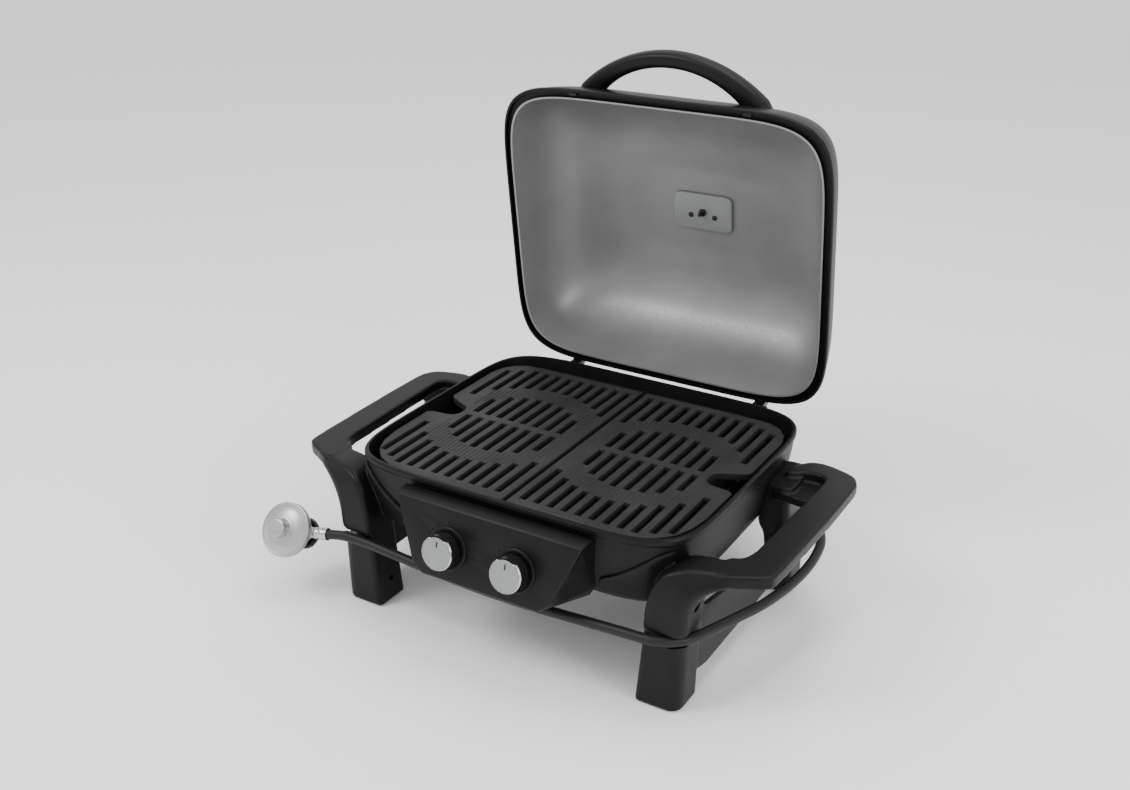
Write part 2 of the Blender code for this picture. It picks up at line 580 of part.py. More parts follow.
def build_gas_line(parent):
    rod("gas_manifold", (-0.0720, MANIFOLD_Y, MANIFOLD_Z), (0.0960, MANIFOLD_Y, MANIFOLD_Z),
        MANIFOLD_RADIUS,
        STEEL, parent, 14)
    low = MANIFOLD_Z - MANIFOLD_RADIUS - GAP
    route = bend_path(((FEED_X, MANIFOLD_Y, low), (FEED_X, MANIFOLD_Y, 0.1045), (FEED_X, -0.1500, 0.1045),
                       (0.1600, 0.0600, 0.1045), (0.1600, ELBOW.y - 0.0105 - GAP, 0.1030)), 0.0160)
    sweep("gas_feed_pipe", route, FEED_RADIUS, STEEL, parent, sides=8)
    block = box("gas_inlet_elbow", (0.1520, ELBOW.y - 0.0105, 0.0920), (0.1740, ELBOW.y + 0.0095, 0.1110),
                BRASS, parent)
    spigot = rod("inlet_spigot_guide", (0.1700, ELBOW.y, ELBOW.z), (0.1835 - GAP, ELBOW.y, ELBOW.z),
                 0.0072, BRASS,
                 parent, 12)
    combine(block, spigot, "UNION")


def build_drip_tray(parent):
    slide = empty("tray_slide", (0, 0, 0), parent)
    profile = ((0.0880, 0.0090), (0.0900, 0.0060), (0.1030, 0.0040), (0.1030, -0.0040), (0.1042, -0.0040),
               (0.1042, 0.0052), (0.0912, 0.0072), (0.0892, 0.0100))
    rings = [rounded(0.0800 - inset, 0.0750 - inset, 0.0250, z, 8.0, 24) for z, inset in profile]
    loft("drip_tray", rings, METAL, slide)
    for word, side in SIDES:
        outline = ((side * 0.0815, 0.1010), (side * 0.0905, 0.1010), (side * 0.0905,
                                                                      FIREBOX_OUTSIDE[-1][0] - GAP),
                   (side * 0.0885, FIREBOX_OUTSIDE[-1][0] - GAP), (side * 0.0885, 0.1026), (side * 0.0815,
                                                                                            0.1026))
        rings = [[Vector((x, y, z)) for x, z in outline] for y in (-0.0500, 0.1050)]
        loft(f"{word}_tray_rail", rings, METAL, parent)


def griddle_outline():
    left = [(-x, y) for x, y in GRIDDLE_HALF[1:-1]]
    return [*GRIDDLE_HALF[1:-1], *reversed(left)]


def build_griddle(parent):
    outline = griddle_outline()
    top = GRIDDLE_HEIGHT
    profile = ((0.0105, 0.0110), (0.0, 0.0065), (0.0, 0.0020), (0.0100, 0.0), (top - 0.0010, 0.0), (top,
                                                                                                    0.0012),
               (top, 0.0045), (top - 0.0040, 0.0070))
    rings = [[Vector((x, y, GRIDDLE_BOTTOM_Z + z)) for x, y in (offset_outline(outline,
                                                                               inset) if inset else outline)]
             for z, inset in profile]
    griddle = loft("griddle_plate", rings, IRON, parent)
    lug_top = GRIDDLE_BOTTOM_Z + top
    for side in (-1, 1):
        for y in (-0.0680, 0.0820):
            lug = box(f"griddle_lug_{side}_{y}", (side * 0.2090 - 0.0050, y - 0.0075, lug_top - 0.0090),
                      (side * 0.2090 + 0.0050, y + 0.0075, lug_top - 0.0010), IRON, parent)
            combine(griddle, lug, "UNION")
        lug = box(f"griddle_front_lug_{side}", (side * 0.0090 - 0.0045, -0.1765, lug_top - 0.0080),
                  (side * 0.0090 + 0.0045, -0.1700, lug_top + 0.0005), IRON, parent)
        combine(griddle, lug, "UNION")


def grate_outline(side):
    """Half of the cooking area, with its outer corners rounded and a finger notch in its outer side."""
    inner, outer = GRATE_INNER_X, GRATE_OUTER_X
    half = [(inner, GRATE_FRONT), (0.1540, GRATE_FRONT), (0.1770, GRATE_FRONT + 0.0030),
            (0.1990, -0.1690), (0.2160, -0.1510), (0.2260, -0.1280), (outer, -0.1000),
            (outer + 0.0005, -0.0270), (outer - 0.0060, -0.0225), (0.2000, -0.0195),
            (0.1930, -0.0165), (0.1885, -0.0090), (0.1880, 0.0050), (0.1925, 0.0135),
            (outer - 0.0040, 0.0300), (outer, 0.0360), (outer, 0.1340), (0.2245, 0.1560),
            (0.2130, 0.1710), (0.1960, GRATE_REAR - 0.0030), (0.1700, GRATE_REAR), (inner, GRATE_REAR)]
    return mirrored(half, side)


def slot_spans(x):
    """The open stretches of a slot: none over the ring, the middle bar or the finger notch."""
    off = abs(x - RING_CENTRE_X)
    outer = math.sqrt(max(0.0, RING_OUTER ** 2 - off ** 2))
    inner = math.sqrt(max(0.0, RING_INNER ** 2 - off ** 2))
    corner = max(0.0, x - 0.1750) * 0.55
    front, rear = GRATE_FRONT + 0.0130 + corner, GRATE_REAR - 0.0130 - corner
    clear = 0.0270 if x > 0.1950 else 0.0120 if x > 0.1850 else 0.0060
    spans = [(front, -max(outer, clear)), (max(outer, clear + 0.004), rear)]
    if inner > 0.0200:
        spans += [(-inner, -0.0060), (0.0060, inner)]
    return [(a, b) for a, b in spans if b - a > 0.0140]


def build_grate(word, side, parent):
    low, high = GRATE_BOTTOM_Z, GRATE_BOTTOM_Z + GRATE_THICKNESS
    grate = prism(f"{word}_grate", grate_outline(side), low, high, IRON, parent, chamfer=0.0008)
    verts, faces = [], []
    for k in range(SLOT_COUNT):
        x = SLOT_FIRST_X + SLOT_PITCH * k
        for start, end in slot_spans(x):
            at = len(verts)
            for z in (low - 0.0050, high + 0.0050):
                verts += [(side * (x + sx * SLOT_WIDTH / 2), y, z)
                          for sx, y in ((-1, start), (1, start), (1, end), (-1, end))]
            faces += [[at + i for i in f] for f in ((0, 1, 2, 3), (4, 5, 6, 7), (0, 1, 5, 4), (1, 2, 6,
                                                                                               5),
                                                    (2, 3, 7, 6), (3, 0, 4, 7))]
    combine(grate, add_mesh(f"{word}_slots", verts, faces, METAL, parent))


def lid_ring(height, inset, count=RING_POINTS):
    """A ring of the closed lid, measured from its hinge pin."""
    return rounded(LID_HALF_X - inset, LID_HALF_Y - inset, RIM_CENTRE_Y - PIN_Y,
                   LID_RIM_Z - PIN_Z + height,
                   count=count)


def lid_place(x, back, height):
    """A point of the closed lid: how far it is from the rear edge, and its height over the rim."""
    return Vector((x, RIM_CENTRE_Y + LID_HALF_Y - PIN_Y - back, LID_RIM_Z - PIN_Z + height))


def lid_clearance(parent):
    rings = [lid_ring(height, inset - 0.0004) for height, inset in LID_OUTSIDE]
    rings[0] = lid_ring(-0.0004, -0.0004)
    rings[-1] = [p + Vector((0.0, 0.0, 0.0004)) for p in lid_ring(*LID_OUTSIDE[-1])]
    return guide(loft("lid_clearance", rings, METAL, parent))


def build_lid_handle(hinge, clearance):
    path = []
    ends = math.asin(HANDLE_HALF_SPAN / HANDLE_ARC_RADIUS)
    steps = 14
    for k in range(steps + 1):
        angle = -ends + 2 * ends * k / steps
        path.append((math.sin(angle) * HANDLE_ARC_RADIUS,
                     HANDLE_APEX - HANDLE_ARC_RADIUS * (1 - math.cos(angle)), angle))
    path = [(-0.1320, 0.3960, -1.25), *path, (0.1320, 0.3960, 1.25)]
    rings = []
    for x, back, angle in path:
        out = Vector((math.sin(angle), math.cos(angle)))
        thick = 0.0110 + 0.0040 * (abs(x) / HANDLE_HALF_SPAN) ** 3
        tall = 0.0130 + 0.0020 * (abs(x) / HANDLE_HALF_SPAN) ** 3
        ring = []
        for k in range(12):
            a = 2 * math.pi * k / 12
            r = math.copysign(abs(math.cos(a)) ** 0.7, math.cos(a)) * thick
            h = math.copysign(abs(math.sin(a)) ** 0.7, math.sin(a)) * tall
            ring.append(lid_place(x + out.x * r, back + out.y * r, HANDLE_HEIGHT + h))
        rings.append(ring)
    combine(loft("lid_handle", rings, PLASTIC, hinge), clearance)


def build_lid_fittings(hinge, clearance):
    middle = 0.2127
    turned("thermometer_dial", lid_place(0.0, middle, LID_DEPTH + GAP), (0, 0, 1),
           ((0.0, 0.0280), (0.0060, 0.0280), (0.0085, 0.0262), (0.0085, 0.0235), (0.0070, 0.0228)),
           STAINLESS, hinge, 24)
    outline = rounded(0.0460, 0.0280, 0.0, 0.0, 9.0, 20)
    centre = lid_place(0.0, middle, LID_INSIDE[-1][0] - GAP)
    rings = [[centre + Vector((p.x, p.y, z)) for p in outline] for z in (-0.0050, 0.0)]
    loft("thermometer_plate", rings, CHROME, hinge)
    turned("thermometer_nut", centre + Vector((0, 0, -0.0050 - GAP)), (0, 0, -1),
           ((0.0, 0.0060), (0.0035, 0.0060), (0.0035, 0.0026), (0.0120, 0.0026)), STEEL, hinge, 12)
    for word, side in SIDES:
        low = lid_place(side * 0.1280 - 0.0060, 0.4208, 0.0024)
        high = lid_place(side * 0.1280 + 0.0060, 0.4149, 0.0057)
        box(f"{word}_lid_bumper", (low.x, low.y, low.z), (high.x, high.y, high.z), RUBBER, hinge)
        arm = prism(f"{word}_lid_hinge_arm",
                    [(0.0085 * math.cos(a), 0.0085 * math.sin(a)) for a in
                     (math.radians(-195 + 195 * k / 9) for k in range(10))]
                    + [(0.0040, 0.0240), (-0.0060, 0.0480), (-0.0300, 0.0480), (-0.0060, 0.0180)],
                    side * 0.1500 - 0.0077, side * 0.1500 + 0.0077, STEEL, hinge, axis="X")
        hole = rod(f"{word}_knuckle_hole", (side * 0.1500 - 0.0200, 0, 0), (side * 0.1500 + 0.0200, 0, 0),
                   PIN_RADIUS + GAP, METAL, hinge, 16)
        combine(arm, clearance)
        combine(arm, hole)


def build_hinge_brackets(parent, clearance):
    for word, side in SIDES:
        x = side * 0.1500
        bracket = box(f"{word}_hinge_bracket", (x - 0.0160, 0.2040, 0.1880), (x + 0.0160, 0.2385, 0.2088),
                      STEEL, parent)
        slot = box(f"{word}_bracket_slot", (x - 0.0081, 0.2190, 0.1800), (x + 0.0081, 0.2500, 0.2200),
                   METAL, parent)
        hole = rod(f"{word}_bracket_hole", (x - 0.0300, PIN_Y, PIN_Z), (x + 0.0300, PIN_Y, PIN_Z),
                   PIN_RADIUS + GAP, METAL, parent, 16)
        for tool in (slot, clearance, hole):
            combine(bracket, tool)
        turned(f"{word}_hinge_pin", (x - side * 0.0205, PIN_Y, PIN_Z), (side, 0, 0),
               ((0.0, 0.0052), (0.0040, 0.0052), (0.0040, PIN_RADIUS), (0.0385, PIN_RADIUS)), STEEL,
               parent, 16)


def build_hose(parent):
    line = bpy.data.curves.new("gas_hose", "CURVE")
    line.dimensions = "3D"
    line.bevel_depth = HOSE_RADIUS
    line.bevel_resolution = 2
    line.use_fill_caps = True
    points = smooth_route(HOSE_ROUTE, HOSE_POINTS)
    spline = line.splines.new("POLY")
    spline.points.add(len(points) - 1)
    for slot, point in zip(spline.points, points):
        slot.co = (*point, 1.0)
    line.materials.append(RUBBER)
    hose = bpy.data.objects.new("gas_hose", line)
    hose.parent = parent
    bpy.context.scene.collection.objects.link(hose)


def build_regulator(parent):
    end = Vector(HOSE_ROUTE[-1])
    out = (Vector(HOSE_ROUTE[-2]) - end).normalized()
    turned("hose_ferrule", end - out * GAP, -out,
           ((0.0, 0.0078), (0.0010, 0.0084), (0.0130, 0.0084), (0.0140, 0.0060), (0.0200, 0.0060)),
           CHROME, parent, 16)
    neck = end - out * (0.0200 + 2 * GAP)
    face = (REGULATOR_FACE - out * REGULATOR_FACE.dot(out)).normalized()
    centre = neck - out * 0.0400 + face * 0.0130
    base = turned("regulator_base", centre - face * 0.0030, -face,
                  ((0.0, REGULATOR_RADIUS), (0.0040, REGULATOR_RADIUS), (0.0060, 0.0330), (0.0120,
                                                                                           0.0230),
                   (0.0260, 0.0190), (0.0300, 0.0120)), SILVER, parent, 24)
    boss = turned("regulator_boss_guide", centre - face * 0.0130, out,
                  ((0.0, 0.0088), (0.0300, 0.0088), (0.0310, REGULATOR_NECK), (0.0400 - GAP,
                                                                               REGULATOR_NECK)), SILVER,
                  parent, 12)
    combine(base, boss, "UNION")
    turned("regulator_cover", centre - face * 0.0027, face,
           ((0.0, REGULATOR_RADIUS), (0.0030, REGULATOR_RADIUS), (0.0045, 0.0350), (0.0085, 0.0290),
            (0.0105, 0.0180),
            (0.0110, 0.0135), (0.0240, 0.0125), (0.0255, 0.0105)), SILVER, parent, 24)
    nut_face = centre - face * 0.0333
    turned("coupling_nut", nut_face, -face,
           ((0.0, 0.0120), (0.0020, NUT_RADIUS), (0.0240, NUT_RADIUS), (0.0260, 0.0160), (0.0260, 0.0100),
            (0.0140, 0.0100)), GLOSS, parent, 24, flutes=12)
    return nut_face, face


def build_regulator_bracket(nut, face, parent):
    """An arm on the left leg with a fork that the regulator's coupling nut rests in."""
    inner, outer, width = NUT_RADIUS + GAP, NUT_RADIUS + 0.0040, 0.0100
    middle = nut - face * 0.0080
    toward = Vector((1.0, 0.0, 0.0))
    toward = (toward - face * toward.dot(face)).normalized()
    side = face.cross(toward)
    rings = []
    for k in range(11):
        angle = math.radians(-100 + 20 * k)
        spoke = toward * math.cos(angle) + side * math.sin(angle)
        rings.append([middle + spoke * r - face * w
                      for r, w in ((inner, 0.0), (outer, 0.0), (outer, width), (inner, width))])
    fork = loft("regulator_bracket", rings, PLASTIC, parent)
    foot = Vector((-FRONT_LEG[1][2] - GAP, -0.1720, 0.0800))
    arm = sweep("bracket_arm_guide", (foot + Vector((-0.0010, 0.0, 0.0)), foot + Vector((-0.0120, 0.0,
                                                                                         0.0)),
                                      middle - face * width / 2 + toward * (inner + 0.0018)), 0.0045,
                                      PLASTIC, parent,
                sides=8)
    pad = turned("bracket_pad_guide", foot, (-1, 0, 0), ((0.0, 0.0095), (0.0035, 0.0095)), PLASTIC,
                 parent, 16)
    combine(fork, arm, "UNION")
    combine(fork, pad, "UNION")


for scene_object in list(bpy.data.objects):
    bpy.data.objects.remove(scene_object, do_unlink=True)

SIDES = (("left", -1), ("right", 1))
ALUMINIUM = material("cast_aluminium_black", (0.030, 0.030, 0.032), 0.45, 0.2)
PLASTIC = material("moulded_plastic", (0.022, 0.022, 0.024), 0.55)
GLOSS = material("gloss_plastic", (0.012, 0.012, 0.013), 0.25)
IRON = material("cast_iron", (0.055, 0.055, 0.057), 0.60, 0.3)
METAL = material("dark_steel", (0.040, 0.040, 0.042), 0.40, 0.8)
STEEL = material("black_steel", (0.050, 0.050, 0.055), 0.40, 0.8)
STAINLESS = material("stainless_steel", (0.420, 0.410, 0.400), 0.28, 1.0)
CHROME = material("satin_chrome", (0.560, 0.560, 0.570), 0.22, 1.0)
SILVER = material("cast_zinc", (0.620, 0.620, 0.630), 0.38, 0.7)
BRASS = material("brass", (0.600, 0.430, 0.180), 0.35, 1.0)
CERAMIC = material("ceramic", (0.750, 0.730, 0.680), 0.40)
RUBBER = material("rubber", (0.020, 0.020, 0.021), 0.70)

grill = empty("grill", (0.0, ORIGIN_Y, 0.0))
against_firebox = firebox_clearance("firebox_clearance", grill)
build_firebox(grill)
for frame_word, frame_side in SIDES:
    build_side_frame(frame_word, frame_side, grill, against_firebox)
    build_knob(frame_word, frame_side, grill)
    build_grate(frame_word, frame_side, grill)
build_control_panel(grill, against_firebox)
build_burner_fittings(grill)
build_grate_rests(grill)
build_gas_line(grill)
build_drip_tray(grill)
build_griddle(grill)
build_hinge_brackets(grill, against_firebox)

lid_hinge = empty("lid_hinge", (0.0, PIN_Y, PIN_Z), grill, -LID_OPEN_ANGLE)
against_lid = lid_clearance(lid_hinge)
lid_rings = [lid_ring(height, inset) for height, inset in reversed(LID_OUTSIDE)]
lid_rings += [lid_ring(height, inset) for height, inset in LID_INSIDE]
loft("lid_shell", lid_rings, ALUMINIUM, lid_hinge)
build_lid_handle(lid_hinge, against_lid)
build_lid_fittings(lid_hinge, against_lid)

build_hose(grill)
build_regulator_bracket(*build_regulator(grill), grill)
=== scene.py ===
import json
import math

import bmesh
import bpy
from mathutils import Matrix, Vector


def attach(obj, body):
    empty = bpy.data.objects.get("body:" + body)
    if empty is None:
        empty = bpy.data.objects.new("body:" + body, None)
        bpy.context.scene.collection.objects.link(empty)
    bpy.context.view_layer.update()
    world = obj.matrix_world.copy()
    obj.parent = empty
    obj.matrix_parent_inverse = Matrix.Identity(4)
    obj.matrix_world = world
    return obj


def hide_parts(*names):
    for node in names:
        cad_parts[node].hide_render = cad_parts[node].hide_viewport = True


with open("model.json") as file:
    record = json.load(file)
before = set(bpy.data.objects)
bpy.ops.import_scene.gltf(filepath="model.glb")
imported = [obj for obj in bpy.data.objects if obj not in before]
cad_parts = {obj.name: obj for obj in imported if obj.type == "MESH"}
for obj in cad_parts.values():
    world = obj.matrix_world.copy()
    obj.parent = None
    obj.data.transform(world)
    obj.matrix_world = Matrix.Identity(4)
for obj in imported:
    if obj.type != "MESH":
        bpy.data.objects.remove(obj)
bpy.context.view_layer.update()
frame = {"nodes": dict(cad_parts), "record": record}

# Finer shells, mouldings and castings for a portable two-burner gas grill, and their materials.
# Metres, +Z up, +Y from the control panel to the lid's hinge. SHIFT moves the part's places into the frame.
SHIFT = Vector((0.0, -0.0556, 0.0))
SIDES = (("left", -1), ("right", 1))

# camera, light and floor
CAMERA_AZIMUTH, CAMERA_ELEVATION = math.radians(31.0), math.radians(24.4)
CAMERA_TARGET, CAMERA_DISTANCE = Vector((-0.0013, -0.0364, 0.2949)), 1.6388
CAMERA_LENS_MM, CAMERA_SENSOR_MM = 40.986, 36.0
WORLD_STRENGTH = 1.15
LIGHTS = (
    ("key_light", (-1.3, -1.5, 2.4), (0.0, 0.0, 0.25), 1.2, 40.0),
    ("top_light", (0.3, 0.5, 2.6), (0.0, 0.0, 0.2), 1.6, 26.0),
    ("side_light", (2.2, -0.6, 1.2), (0.0, 0.0, 0.2), 1.0, 20.0),
)
FLOOR_SIZE, FLOOR_WHITE = 9.0, 0.97

# firebox and lid: rings of rounded rectangles, each profile a list of (height, inset from the rim)
RIM_HALF_X, RIM_HALF_Y, RIM_CENTRE_Y, RIM_POWER = 0.2432, 0.2087, 0.0110, 6.5
RING_POINTS = 176
PROFILE_STEPS = 4
FIREBOX_OUTSIDE = (
    (0.2190, 0.0015), (0.2165, 0.0), (0.2120, 0.0), (0.2085, 0.0022), (0.1910, 0.0035),
    (0.1620, 0.0080), (0.1400, 0.0130), (0.1240, 0.0200), (0.1150, 0.0300), (0.1115, 0.0440),
)
FIREBOX_INSIDE = (
    (0.2190, 0.0045), (0.2030, 0.0060), (0.1880, 0.0085), (0.1620, 0.0120),
    (0.1400, 0.0172), (0.1260, 0.0240), (0.1185, 0.0330), (0.1155, 0.0460),
)
DRAIN_HOLE, DRAIN_RADIUS = Vector((0.0300, 0.0200, 0.0950)), 0.0090
BURNER_X, BURNER_INLET_X, BURNER_Z = 0.0990, 0.0500, 0.1400
BURNER_HOLE_RADIUS = 0.0095
LID_HALF_X, LID_HALF_Y, LID_RIM_Z, LID_DEPTH = 0.2472, 0.2127, 0.2172, 0.1450
PIN = Vector((0.0, 0.2300, 0.2000))
LID_OPEN = Matrix.Translation(PIN + SHIFT) @ Matrix.Rotation(-math.radians(82.4), 4, "X")
LID_OUTSIDE = (
    (0.0, 0.0010), (0.0015, 0.0), (0.0060, 0.0), (0.0100, 0.0022), (0.0300, 0.0060), (0.0600, 0.0150),
    (0.0900, 0.0290), (0.1150, 0.0490), (0.1310, 0.0740), (0.1400, 0.1040), (LID_DEPTH, 0.1500),
)
LID_INSIDE = (
    (0.0, 0.0033), (0.0060, 0.0033), (0.0060, 0.0112), (0.0, 0.0112), (0.0, 0.0135), (0.0300, 0.0155),
    (0.0600, 0.0200), (0.0880, 0.0325), (0.1125, 0.0520), (0.1280, 0.0765), (0.1368, 0.1055),
    (0.1416, 0.1510),
)
THERMOMETER_BACK = 0.2127

# the ring band of each grate, and the ridges on it
BAND_CENTRE_X, BAND_OUTER, BAND_INNER = 0.1050, 0.1165, 0.0875
RIDGE_COUNT, RIDGE_FIRST_X, RIDGE_PITCH, RIDGE_LAST_X, RIDGE_REACH = 34, 0.0215, 0.0064, 0.1880, 0.1120
RIDGE_Z, RIDGE_RADIUS = 0.2134 - 0.0003, 0.0008

# side frames: leg stations are (inner x, inner z, outer x, outer z, front y, rear y)
FRONT_LEG = (
    (0.1910, 0.0015, 0.2500, 0.0015, -0.1980, -0.1450), (0.1990, 0.0880, 0.2520, 0.0880, -0.1980, -0.1460),
    (0.2005, 0.1070, 0.2530, 0.1070, -0.1980, -0.1460), (0.2010, 0.1110, 0.2540, 0.1110, -0.2010, -0.1460),
    (0.2030, 0.1400, 0.2560, 0.1350, -0.2010, -0.1460), (0.2090, 0.1650, 0.2620, 0.1530, -0.1990, -0.1460),
    (0.2210, 0.1830, 0.2720, 0.1660, -0.1950, -0.1450), (0.2400, 0.1920, 0.2860, 0.1740, -0.1880, -0.1430),
    (0.2640, 0.1940, 0.3000, 0.1780, -0.1800, -0.1400), (0.3000, 0.1925, 0.3120, 0.1796, -0.1690, -0.1340),
)
REAR_LEG = (
    (0.2260, 0.0015, 0.2660, 0.0015, 0.1120, 0.1500), (0.2290, 0.0900, 0.2670, 0.0900, 0.0900, 0.1500),
    (0.2240, 0.1150, 0.2675, 0.1150, 0.0820, 0.1500), (0.2240, 0.1400, 0.2680, 0.1400, 0.0740, 0.1500),
    (0.2300, 0.1640, 0.2700, 0.1640, 0.0680, 0.1480), (0.2360, 0.1860, 0.2740, 0.1860, 0.0660, 0.1440),
)
HANDLE_TOP_Z, HANDLE_THICKNESS = 0.1940, 0.0160
SIDE_HANDLE = (
    (0.2850, -0.1745), (0.3180, -0.1620), (0.3320, -0.1530), (0.3390, -0.1380), (0.3420, -0.0600),
    (0.3440, 0.0200), (0.3440, 0.1000), (0.3410, 0.1160), (0.3320, 0.1300), (0.3080, 0.1400),
    (0.2850, 0.1440), (0.2680, 0.1380), (0.2570, 0.1220), (0.2530, 0.0980), (0.2640, 0.1000),
    (0.2760, 0.1080), (0.2930, 0.1090), (0.3020, 0.1030), (0.3050, 0.0900), (0.3030, 0.0300),
    (0.2990, -0.0600), (0.2970, -0.1050), (0.2900, -0.1260), (0.2760, -0.1370),
)
REAR_WEB = ((0.2500, 0.0640), (0.2960, 0.0580), (0.3080, 0.0660), (0.3080, 0.1140), (0.2500, 0.1160))
SIDE_PANEL = (
    (-0.1560, 0.0460), (-0.1420, 0.0340), (-0.1180, 0.0290), (0.0900, 0.0290), (0.1060, 0.0330),
    (0.1180, 0.0460), (0.1180, 0.1060), (0.0900, 0.0980), (-0.0480, 0.1040), (-0.1300, 0.1180),
    (-0.1560, 0.1340),
)
SCREW_Z = 0.1410
FRAME_SCREWS = (("front", -0.1720, 0.2570, 0.2050), ("rear", 0.1240, 0.2680, 0.2315))
FOOT_PADS = ((0.2200, -0.1715), (0.2460, 0.1310))

# control panel's face, knobs, and the hose with its regulator
FACE_TOP = Vector((0.0, -0.2227, 0.2060))
FACE_SLOPE = math.radians(13.4)
FACE_OUT = Vector((0.0, -math.cos(FACE_SLOPE), math.sin(FACE_SLOPE)))
FACE_DOWN = Vector((0.0, -math.sin(FACE_SLOPE), -math.cos(FACE_SLOPE)))
KNOB_X, KNOB_DROP, KNOB_RADIUS, KNOB_DEPTH, KNOB_STANDOFF = 0.0490, 0.0520, 0.0225, 0.0190, 0.0052
HOSE_RADIUS = 0.0065
HOSE_ROUTE = (
    (0.1835, 0.1615, 0.1012), (0.2050, 0.1618, 0.1008), (0.2350, 0.1640, 0.0990),
    (0.2620, 0.1625, 0.0965), (0.2850, 0.1480, 0.0935), (0.3000, 0.1200, 0.0905),
    (0.3060, 0.0800, 0.0880), (0.3055, 0.0350, 0.0870), (0.3000, -0.0100, 0.0875),
    (0.2910, -0.0550, 0.0890), (0.2790, -0.0950, 0.0915), (0.2680, -0.1320, 0.0945),
    (0.2612, -0.1540, 0.0965), (0.2559, -0.1700, 0.0980), (0.2497, -0.1822, 0.0990),
    (0.2400, -0.1930, 0.0997), (0.2275, -0.2013, 0.1002), (0.2120, -0.2059, 0.1004),
    (0.1800, -0.2068, 0.0995), (0.1400, -0.2070, 0.0975), (0.0900, -0.2075, 0.0950),
    (0.0400, -0.2080, 0.0932), (-0.0300, -0.2080, 0.0930), (-0.0900, -0.2070, 0.0948),
    (-0.1400, -0.2060, 0.0972), (-0.1800, -0.2050, 0.0995), (-0.2120, -0.2045, 0.1008),
    (-0.2400, -0.2055, 0.1005), (-0.2640, -0.2090, 0.0975),
)
HOSE_GROOVE, GROOVE_RADIUS = slice(10, 20), 0.0088
REGULATOR_FACE = Vector((0.1200, -0.8200, 0.5600)).normalized()


# ---- camera, light and floor ----

def make_camera():
    """The photograph's viewpoint: to the right of the front and above, with a moderate lens."""
    level = math.cos(CAMERA_ELEVATION)
    back = Vector((math.sin(CAMERA_AZIMUTH) * level, -math.cos(CAMERA_AZIMUTH) * level,
                   math.sin(CAMERA_ELEVATION)))
    right = Vector((math.cos(CAMERA_AZIMUTH), math.sin(CAMERA_AZIMUTH), 0.0))
    up = back.cross(right)
    camera = bpy.data.objects.new("camera", bpy.data.cameras.new("camera"))
    camera.data.lens, camera.data.sensor_width = CAMERA_LENS_MM, CAMERA_SENSOR_MM
    rotation = Matrix((right, up, back)).transposed().to_4x4()
    camera.matrix_world = Matrix.Translation(CAMERA_TARGET + SHIFT + back * CAMERA_DISTANCE) @ rotation
    bpy.context.scene.collection.objects.link(camera)
    bpy.context.scene.camera = camera


def area_light(name, place, aim, size, power):
    light = bpy.data.lights.new(name, "AREA")
    light.shape, light.size, light.energy = "DISK", size, power
    lamp = bpy.data.objects.new(name, light)
    lamp.location = place
    lamp.rotation_euler = (Vector(aim) - Vector(place)).to_track_quat("-Z", "Y").to_euler()
    bpy.context.scene.collection.objects.link(lamp)


def make_studio():
    world = bpy.data.worlds.new("studio")
    world.use_nodes = True
    background = world.node_tree.nodes["Background"]
    background.inputs["Color"].default_value = (1.0, 1.0, 1.0, 1.0)
    background.inputs["Strength"].default_value = WORLD_STRENGTH
    bpy.context.scene.world = world
    for light in LIGHTS:
        area_light(*light)
    bpy.ops.mesh.primitive_plane_add(size=FLOOR_SIZE)
    floor = bpy.context.object
    floor.name = "floor"
    paper = bpy.data.materials.new("floor_paper")
    paper.use_nodes = True
    shader = paper.node_tree.nodes["Principled BSDF"]
    shader.inputs["Base Color"].default_value = (FLOOR_WHITE, FLOOR_WHITE, FLOOR_WHITE, 1.0)
    shader.inputs["Roughness"].default_value = 0.9
    floor.data.materials.append(paper)


# ---- materials ----

